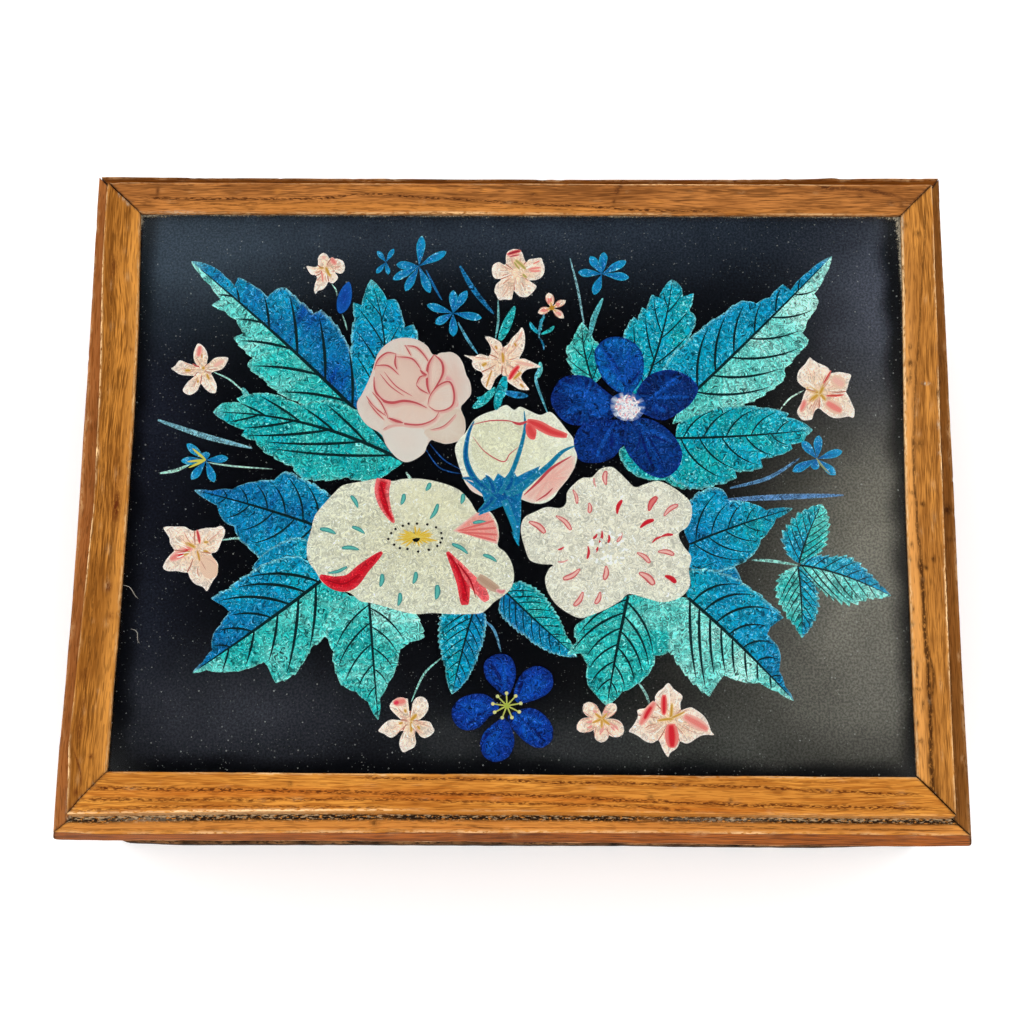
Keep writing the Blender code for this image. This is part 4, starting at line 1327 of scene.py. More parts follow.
# number, angle and bend of the veins and the hues at base and tip, for the left side and then for the
# right, or once for both; saw is the number and the depth of the teeth, where a leaf has its own
leaves = [
    dict(
        layer=3, seed=3, line=1.02, curl=-0.05, lean=1, veins=(6, 38, -0.08, 6, 42, 0.06),
        hues=(0.36, 0.04, 0.84, 0.62), rib=[-45, 16.8, -75.3, 48.5, -114.9, 82],
        left=[
            -57.8, 20.3, -68.3, 26.7, -75.7, 30.3, -83.5, 34.2, -88.1, 38.6, -93.9, 43.3, -91.9, 46.2,
            -95.2, 49.1, -98.9, 53.5, -95.1, 55, -98.1, 60.1, -102.4, 63.4, -107.1, 65.6, -103.3, 67.5,
            -107.8, 73.1, -111.9, 77.5
        ],
        right=[
            -51.8, 26.8, -55, 32.6, -57, 41.3, -57.9, 49.3, -60.6, 55.1, -64.2, 60.3, -68.5, 64.3, -70.9,
            62.8, -76, 67.6, -82.1, 72.8, -85.9, 70.6, -87.2, 68.7, -93, 73.5, -98.1, 76.1, -98.6, 72,
            -102.3, 76.1, -107.4, 80.2
        ]
    ),
    dict(
        layer=4, seed=5, line=0.95, curl=0.06, veins=(5, 24, 0.05, 5, 22, 0.04),
        hues=(0.26, 0.36, 0.36, 0.26), rib=[-38.3, 9.3, -71.1, 26.7, -104.6, 26.5],
        left=[
            -42.3, 6.1, -48, 2.2, -58.3, 3.2, -66.8, 2.1, -73.7, 2.8, -76.6, 7, -83.6, 10.5, -87.1, 12.7,
            -89.7, 16.2, -94.6, 18, -92.9, 20.1, -96.4, 21.2, -100.3, 23.3
        ],
        right=[
            -42.6, 16.8, -52.1, 25.7, -64.3, 31.1, -74.6, 29.2, -78.9, 31, -83.4, 33.1, -90.4, 33.5, -96.9,
            31.6, -94.4, 29.8, -101.6, 29.8
        ]
    ),
    dict(
        layer=2, seed=7, line=0.54, curl=0, lean=1.2, veins=(4, 32, -0.06), hues=(0.66, 0.52, 0.6, 0.5),
        rib=[-45.5, 24, -43.4, 53, -51.3, 75.5],
        left=[
            -51, 24.6, -55.7, 31.1, -57.7, 41.2, -57.7, 51.1, -56.9, 61, -57.4, 67, -54.5, 64.7, -53.6, 69.6
        ],
        right=[
            -37.4, 31.2, -32.1, 42.1, -34, 53, -35.9, 58.9, -39, 57.4, -40.2, 62.6, -42.4, 68.1, -45.5,
            67.7, -48.1, 72.2
        ]
    ),
    dict(
        layer=3, seed=9, line=0.82, curl=-0.04, lean=1, veins=(6, 36, 0.14, 6, 40, 0.14),
        hues=(0.46, 0.68, 0.22, 0), rib=[59.8, 33.1, 79.1, 51.7, 110.2, 84.7],
        left=[
            49.5, 38.8, 52.4, 46.8, 58, 52, 63.6, 57.5, 71.3, 63, 78.4, 68.2, 83.2, 67.1, 88.1, 69.4, 92.8,
            74.2, 95.2, 71.6, 101.6, 78.7
        ],
        right=[
            53.5, 23, 63.1, 26.6, 71.4, 28.8, 79.7, 30.3, 86.6, 34.3, 93, 39.7, 92.4, 42.6, 97, 47.8, 101.6,
            53.3, 98.6, 55.1, 101.1, 60.9, 105.2, 67.6, 103.5, 70.6, 107.5, 77.2
        ]
    ),
    dict(
        layer=2, seed=11, line=0.61, curl=0, veins=(4, 30, 0.08), hues=(0.4, 0.5, 0.56, 0.46),
        rib=[42.6, 32.3, 52.5, 57.1, 54.1, 75.9],
        left=[
            36.4, 38.8, 33, 49.7, 36.5, 54.1, 40.4, 62.2, 41.7, 59.2, 43.5, 65.5, 44.9, 63.3, 47, 70.3,
            48.8, 67, 51.3, 72.9
        ],
        right=[
            53.6, 33.1, 61.3, 38.9, 60, 51.2, 60.1, 54.9, 62.6, 61.2, 60.2, 64.5, 61.7, 70.8, 57.8, 68.2,
            57.2, 73.3
        ]
    ),
    dict(
        layer=5, seed=13, line=0.68, veins=(5, 44, 0.22, 5, 46, 0.22), hues=(0.36, 0.46, 0.42, 0.4),
        rib=[54.8, 18, 75, 18.1, 101.7, 21.1],
        left=[55.5, 23, 63.8, 27.3, 75.2, 29.6, 84.5, 29.2, 93.7, 27.1, 92.6, 25.7, 97.4, 24.3],
        right=[
            49.2, 6.6, 59.4, -0.4, 68.2, 1, 75.4, 3.9, 72.4, 6.7, 78.2, 6, 84.3, 7.5, 82.7, 10.7, 89.5,
            11.8, 94.7, 14.3, 92.7, 16, 98.2, 16.8, 99.3, 18.9
        ]
    ),
    dict(
        layer=4, seed=14, line=0.34, curl=0, lean=1, veins=(2, 30, 0.1), hues=(0.2, 0.1, 0.36, 0.3),
        rib=[42.5, 17.2, 45.1, 8, 62.8, 3.8], left=[53.4, 17.3, 62.9, 6.7],
        right=[34.9, 13.6, 36.9, 7.9, 42.4, 3.7, 50.5, 3.1, 57.3, -0.4]
    ),
    dict(
        layer=3, seed=15, line=0.75, curl=0.05, veins=(5, 52, 0.2, 6, 52, 0.2),
        hues=(0.6, 0.72, 0.62, 0.76), rib=[-65.6, -14.4, -86.3, -6.8, -109.8, -1.3],
        left=[
            -66.6, -26.3, -79.4, -27.7, -85.6, -25.7, -90.5, -21.5, -94.1, -18.1, -95.6, -14.2, -99.4,
            -12.2, -101.7, -6.6, -105.6, -4.5
        ],
        right=[
            -61.2, -4.6, -66.1, -0.4, -73, 3.1, -78.6, 5.9, -82.6, 2.4, -88.7, 2, -96.8, -0.9, -103.7, -1.6
        ]
    ),
    dict(
        layer=4, seed=17, line=0.34, curl=0, lean=1, veins=(2, 40, 0.1), hues=(0.56, 0.62, 0.56, 0.62),
        rib=[-62.6, -25.6, -73.8, -33.2, -88.9, -28.5], left=[-65.5, -39.4, -75.7, -38.1],
        right=[-73, -17.3, -83, -21.5]
    ),
    dict(
        layer=5, seed=19, line=0.95, curl=0.06, lean=1.15, veins=(5, 48, 0.06, 6, 44, 0.16),
        hues=(0.24, 0.2, 0.5, 0.76), rib=[-65.1, -32.5, -82.7, -47, -107.5, -64.5],
        left=[
            -54.7, -38.6, -56.8, -48.2, -63.1, -52, -67.7, -55.8, -70.5, -61.2, -73.3, -65.3, -79.2, -68,
            -81.5, -62.6, -83.5, -60.6, -88.1, -62.7, -95.4, -64.1, -102.8, -63.4
        ],
        right=[
            -72.8, -24.2, -82.2, -25.7, -89.5, -29.9, -96.7, -35.4, -102.6, -38.9, -98.5, -40.9, -95.7,
            -43.3, -98.8, -47.8, -101.3, -51.9, -101.1, -56.6, -104, -60.7
        ]
    ),
    dict(
        layer=6, seed=21, line=0.68, curl=0.16, veins=(5, 42, 0.16), hues=(0.08, 0.26, 0.22, 0.26),
        rib=[-49, -39.3, -47.1, -59.7, -44.9, -79.8],
        left=[
            -39.3, -38.5, -33.1, -43.3, -29.6, -51.8, -34.9, -53.5, -38.2, -56.2, -39.1, -61.7, -41.9,
            -67.7, -44.5, -72.5
        ],
        right=[
            -56.8, -37.9, -63.3, -45.5, -63.1, -52, -60.9, -56.4, -60.1, -62.5, -57.6, -68.2, -52.5, -70.5,
            -48.4, -73.8
        ]
    ),
    dict(
        layer=6, seed=23, line=0.82, curl=0.14, veins=(6, 40, 0.18, 6, 42, 0.18),
        hues=(0.2, 0.28, 0.3, 0.24), rib=[38.1, -37.4, 33.9, -55.8, 30.9, -74.6],
        left=[46.1, -36.6, 51.4, -44.8, 51.9, -56.7, 47.3, -57.7, 45.9, -62.5, 41.2, -67.2, 35.9, -69.9],
        right=[
            30, -40.8, 23.9, -45, 19.6, -48.4, 20.6, -53.2, 17.3, -57.6, 21.9, -56.5, 24.3, -60.6, 24.3,
            -67.3, 27.6, -71.3
        ]
    ),
    dict(
        layer=5, seed=25, line=0.88, veins=(7, 62, 0.28, 8, 46, 0.06), hues=(0.5, 0.66, 0.12, 0.06),
        rib=[58.2, -37.9, 74.7, -52.1, 92.8, -72.5],
        left=[
            57, -29, 63, -27.6, 71.7, -29.6, 79.7, -34.4, 85.6, -39.5, 90.5, -44.2, 86.1, -46, 84.4, -50,
            88.6, -55.4, 88.1, -62.2, 89.9, -67.5
        ],
        right=[
            48.8, -38.7, 48.7, -52.3, 52.6, -57.7, 56.5, -63.7, 60.8, -68.4, 64.7, -71.7, 66.4, -66.4, 69.1,
            -63.7, 74.4, -66, 81.7, -66.6, 87.6, -69.6
        ]
    ),
    dict(
        layer=3, seed=27, line=0.61, veins=(5, 44, 0.2), hues=(0.7, 0.52, 0.6, 0.46),
        rib=[59.1, -19.3, 74.8, -12.3, 94.2, -6.6],
        left=[56.5, -11, 60.7, -1.8, 67.5, 1, 70.9, -0.4, 72.2, -3.9, 80.3, -4.9, 85, -7.3],
        right=[59, -29, 69.1, -28.9, 75.2, -26.8, 81.3, -22, 83.1, -17.8, 86.2, -14.3, 88.3, -10.4]
    ),
    dict(
        layer=2.5, seed=28, line=0.34, curl=0, lean=1, veins=(2, 40, 0.1), hues=(0.64, 0.66, 0.6, 0.64),
        rib=[59.7, -26.9, 67.7, -28.9, 76.4, -33.7], left=[66.5, -23.4, 74.5, -27.5],
        right=[60.2, -34.5, 68.2, -37.2]
    ),
    dict(
        layer=4, seed=29, line=0.54, curl=0.1, lean=1.2, veins=(7, 42, 0.1), hues=(0.66, 0.6, 0.56, 0.4),
        saw=(20, 0.1), rib=[-13.6, -41.8, -17.5, -56.1, -20.6, -71],
        left=[-9.6, -43.8, -9.5, -50, -11.4, -56.8, -14, -63.5, -16.6, -67.6],
        right=[-25, -43.2, -25.9, -50.1, -24.8, -56.8, -23, -62.2, -22.3, -66.9]
    ),
    dict(
        layer=4, seed=31, line=0.54, lean=1.2, veins=(8, 44, 0.1), hues=(0.4, 0.3, 0.74, 0.6),
        saw=(22, 0.1), rib=[-3.6, -35.6, 7.2, -46.4, 20.9, -58.2],
        left=[1.7, -32.1, 8.5, -35.5, 13.2, -41.6, 17.3, -50.5],
        right=[-5.6, -43.1, -0.8, -48.5, 3.9, -51.9, 8.6, -55.3, 13.9, -57.6]
    ),
    dict(
        layer=4, seed=33, line=0.48, veins=(6, 38, 0.06), hues=(0.6, 0.36, 0.36, 0.1), saw=(11, 0.2),
        rib=[95.7, -25.7, 98.3, -16, 104, -5.1], left=[91.4, -22.6, 89.2, -16.4, 93.1, -10.1, 97.6, -6.9],
        right=[100.1, -24.6, 104.9, -20.4, 106.8, -14.2, 106.3, -8.6]
    ),
    dict(
        layer=5, seed=35, line=0.54, curl=0.06, veins=(7, 46, 0.08, 7, 40, 0.06),
        hues=(0.5, 0.62, 0.2, 0.04), saw=(13, 0.2), rib=[96, -26.4, 109.4, -28, 126.2, -36.8],
        left=[100.1, -23.2, 107.6, -22.8, 113.9, -23.1, 118.8, -28, 122.7, -32.7],
        right=[99.9, -32.2, 105.1, -37.7, 112.3, -41, 118.4, -38.3]
    ),
    dict(
        layer=6, seed=37, line=0.48, veins=(7, 36, 0.06), hues=(0.5, 0.5, 0.1, 0.3), saw=(12, 0.2),
        rib=[95.3, -26.7, 96.7, -38.4, 96, -51.3], left=[100.6, -31.5, 102.7, -38.4, 101.5, -44.5],
        right=[87.9, -30.2, 86.7, -35.7, 89.6, -42.5, 93.5, -47.3]
    ),
    dict(
        layer=1, seed=39, line=0.54, curl=0, veins=(3, 34, 0.06), hues=(0.3, 0.14, 0.4, 0.2), saw=(6, 0.16),
        rib=[26.7, 37.3, 22.3, 49.6, 22.6, 59.9], left=[19.8, 40.1, 16.4, 48.9, 19.5, 54],
        right=[30.9, 42.4, 29.5, 50.4, 26.8, 54]
    )
]
spears = [
    # points along a slender leaf or stem, its full width, its hue and how far it pales
    ([25.4, 54.8, 26.8, 61.4, 29.9, 68.8], 2.0, 0.4, 0.1),
    ([-5.9, 53.2, -3.8, 58.3, -0.8, 65.7], 3.2, 0.34, 0),
    ([18.4, 83.6, 21.2, 71.7, 23.6, 57], 0.8, 0.52, 0.3),
    ([-20.2, 80.5, -15.2, 71.6, -8.1, 62.7], 1.8, 0.76, 0),
    ([-6.7, 67.9, -6.6, 59.8, -7.6, 53.2], 0.8, 0.4, 0.2),
    ([-32.1, 79, -29.2, 73, -26.3, 67.8], 0.8, 0.8, 0),
    ([-20.6, 59.7, -17, 53.1, -13.5, 48], 1.0, 0.6, 0.1),
    ([-123.5, 23.6, -107, 17.9, -90.6, 13.7], 1.9, 0.56, 0.25),
    ([-106.2, 8.6, -97.2, 7.3, -83.4, 6.3], 0.6, 0.12, 0.5),
    ([-121.8, 4.6, -116.3, 5.7, -111.6, 7.9], 1.2, 0.1, 0.4),
    ([-104.9, 41, -99.2, 38.2, -92.7, 32.4], 0.6, 0.12, 0.4),
    ([-94.9, 35.3, -93.5, 33.1, -92, 30.2], 2.0, 0.34, 0.1),
    ([90.6, 28.2, 94.2, 32.5, 99.1, 35.4], 0.6, 0, 0.5), ([73, 0.4, 86, 4, 97, 11.1], 1.3, 0.76, 0.1),
    ([70.2, -3.9, 89.9, -2.7, 111.6, -1.9], 2.0, 0.8, 0.1),
    ([79.9, -24.7, 86.6, -25, 95.3, -26.4], 1.1, 0.2, 0.3),
    ([8.4, 43, 6.7, 38.6, 10.9, 26.4], 1.0, 0.5, 0.1), ([8.1, 45.2, 8.1, 42.3, 7.4, 39.4], 1.8, 0.34, 0.1),
    ([-24.4, -58.9, -30, -64.3, -34.1, -73.7], 0.7, 0.2, 0.3),
    ([-10.2, -45.9, -6.8, -49.3, -4.4, -56.7], 0.9, 0.7, 0.1),
    ([41.2, -66.5, 43.8, -70.5, 45.1, -74.5], 0.9, 0.34, 0.4),
    ([-99.5, -18.8, -94.7, -18.1, -93.3, -18.8], 0.8, 0.2, 0.4),
    ([7.7, 54, 8, 58.4, 9.7, 63.5], 0.8, 0.6, 0.1), ([8, 55.4, 5.6, 57.6, 4.5, 59.8], 1.4, 0.5, 0),
    ([8.4, 55.4, 11.5, 56.9, 12.9, 58.4], 1.3, 0.3, 0), ([8.4, 56.9, 8.3, 59.8, 9.7, 62], 1.1, 0.5, 0),
    ([8, 54, 9.1, 51.8, 9.4, 49.6], 0.6, 0.7, 0),
    ([-65, 73.6, -63.5, 71.4, -63.1, 69.2], 0.5, 0.2, 0.5),
    ([-61.1, 62.5, -60, 59.6, -59.2, 56.6], 0.5, 0.3, 0.4),
    ([-37.5, 5.4, -36.1, 3.3, -35, 1.2], 1.0, 0.02, 0.4),
]
topSpears = [
    # the same, laid over the blossoms
    ([-13.6, 32, -11.2, 31.7, -15.3, 28.4], 1.2, 0.4, 0),
    ([-7.1, 35.7, -11.2, 31.3, -14.9, 28.4], 3.0, 0.34, 0),
    ([-5.7, 37.1, -6.3, 31.3, -7, 27.7], 2.8, 0.4, 0),
    ([-4.3, 34.2, -0.1, 33.2, 4, 32.8], 2.4, 0.76, 0), ([-4, 40, -5, 35, -5.7, 31.3], 3.4, 0.42, 0),
    ([-29.5, 15.4, -24.6, 9.8, -18.4, 6.2], 0.4, 0.9, 0),
    ([-30.8, 13.3, -25.9, 6.9, -18.4, 4.8], 0.4, 0.9, 0),
    ([-1.1, -15.5, 0.3, -18.2, 1.3, -20.3], 0.8, 0.6, 0),
]


def makeLeaf(look):
    # each side is a set of curved rows from the midrib out to the outline, cut back by a row of fine teeth
    base, middle, tip = asPoints(look["rib"])
    lie, thick = look["layer"] + 0.65, look["line"] * pictureLook["veinShare"]
    hues, veins = np.reshape(look["hues"], (-1, 2)), np.reshape(look["veins"], (-1, 3))
    for hand, key, row in ((1, "left", 0), (-1, "right", -1)):
        outline = np.concatenate([[base], asPoints(look[key]), [tip]])
        length = np.linalg.norm(np.diff(outline, axis=0), axis=1).sum()
        share = np.linspace(0, 1, max(24, round(length / pictureLook["cell"])))
        rib = bezier(base, middle, tip, share ** look["lean"])
        edge = alongRuns(outline, len(share), 0.06 * hand)
        chord = edge - rib
        back = np.stack([-chord[:, 1], chord[:, 0]], axis=1) * (hand * look["curl"])
        reach = np.linalg.norm(chord, axis=1)
        teeth, depth = look.get("saw", (length / 4.2, 0.035))
        saw = share * teeth
        cut = 1 - depth * (1 - (saw - np.floor(saw))) * smoothStep(0.0, 0.15, share)
        out = np.linspace(0, 1, max(5, round(reach.max() / pictureLook["cell"])))
        middles = (rib + chord * 0.5 + back)[:, None]
        flat = bezier(rib[:, None], middles, edge[:, None], out[None, :] * cut[:, None])
        wander = ripple(flat[..., 0], flat[..., 1], look["seed"] + 2, 22.0, 22.0)
        brush = ripple(reach[:, None] * out, share[:, None] * length, look["seed"] + 3, 40.0, 3.0, 12)
        low, high = hues[row]
        hue = low + (high - low) * share[:, None] + 0.07 * wander + 0.05 * brush
        colours = hueTones(np.clip(hue, 0, 1))
        rim = smoothStep(1 - 0.7 / max(reach.mean(), 2), 1.0, out)[None, :] + 0 * share[:, None]
        pale = np.clip(0.4 * rim + 0.35 * smoothStep(0.93, 1.0, share)[:, None], 0, 0.7)
        addSheet("leaves", flat, look["layer"], blend(colours, screenTones(leafRimTone), pale))
        # a vein leaves the midrib at its angle, heads for the outline there and sags by its bend on the way
        number, angle, bend = veins[row]
        forward = np.gradient(rib, axis=0)
        starts = (np.arange(number) + 0.3 + 0.2 * (hand > 0)) / (number + 0.2) * 0.9 * len(share)
        for start in starts.astype(int):
            away = edge - rib[start]
            aside = hand * (forward[start, 0] * away[:, 1] - forward[start, 1] * away[:, 0])
            turn = np.degrees(np.arctan2(aside, away @ forward[start]))
            goal = away[np.argmin(np.abs(turn - angle * (1 - 0.2 * start / len(share))))]
            goal = rib[start] + goal * 0.9
            run = goal - rib[start]
            size = np.linalg.norm(run)
            if size > 2.5:
                sag = np.array([run[1], -run[0]]) * (-hand * bend)
                line = bezier(rib[start], (rib[start] + goal) / 2 + sag, goal, np.linspace(0, 1, 9))
                addStroke(
                    line, thick * min(0.85, 0.45 + size / 60), veinTone, None, (0.6, 0.12), 0.35, layer=lie
                )
    rib = bezier(base, middle, tip, np.linspace(0, 0.95, 9))
    addStroke(rib, thick, veinTone, None, (0.95, 0.2), 0.15, layer=lie)


blueStars = [
    # centre, petals as (angle, length), half width
    ((-46.2, 81.9), [(62, 5.6), (128, 5.2), (232, 5.4), (281, 4.8)], 0.9),
    ((-34.6, 80.4), [(86, 11.4), (30, 11.0), (176, 8.0), (209, 10.4), (244, 10.4), (292, 10.8)], 1.5),
    ((-22.4, 63.0), [(90, 8.4), (60, 9.6), (162, 9.6), (214, 7.2), (272, 8.6), (350, 10.2)], 1.5),
    ((29.6, 77.7), [(85, 8.2), (122, 7.8), (176, 8.4), (250, 8.2), (30, 9.8), (352, 9.6)], 1.5),
    ((-106.2, 9.3), [(140, 9.0), (182, 8.6), (5, 7.6), (292, 8.4), (236, 8.4), (95, 3.0)], 1.4),
    ((102.8, 10.8), [(84, 8.4), (128, 8.0), (18, 9.2), (208, 9.6), (318, 8.4), (252, 4.0)], 1.5),
]
deepRed, softRed, blush, peach = (218, 34, 48), (238, 132, 124), (242, 184, 170), (238, 200, 176)
gold, paleGold = (208, 152, 52), (232, 200, 150)
redTouch, coralTouch, blushTouch = (deepRed, softRed), (softRed, blush), (blush, peach)
goldTouch, amberTouch = (gold, paleGold), (gold, peach)
petalTones = {
    "cut": ((240, 206, 178), (246, 224, 210)), "small": ((240, 206, 176), (246, 222, 206)),
    "rim": (252, 236, 226), "smallRim": (250, 232, 222), "crease": (190, 120, 98),
    "star": ((2, 92, 162), (14, 150, 204)), "starRim": (40, 172, 210),
    "hairs": ((214, 160, 138), (252, 246, 238), (226, 180, 160)),
    "heart": ((214, 156, 60), (232, 190, 130)), "fringe": (214, 150, 130),
    "flame": ((222, 30, 48), (240, 130, 124))
}
smallBlossoms = [
    # centre, petals as (angle, length, half width, redness), pointedness
    (
        (12.1, 65.0),
        [(102, 5.8, 1.5, 0.7), (30, 5.6, 1.1, 0.5), (200, 5.2, 1.3, 0.6), (318, 5.6, 1.2, 0.3)], 0.7
    ),
    (
        (29.2, -79.0),
        [
            (140, 7.8, 2.4, 0.2), (48, 6.8, 2.0, 0.2), (202, 9.0, 2.5, 0.35), (268, 7.8, 2.6, 0.3),
            (324, 8.6, 2.8, 0.3)
        ],
        0.55
    ),
]
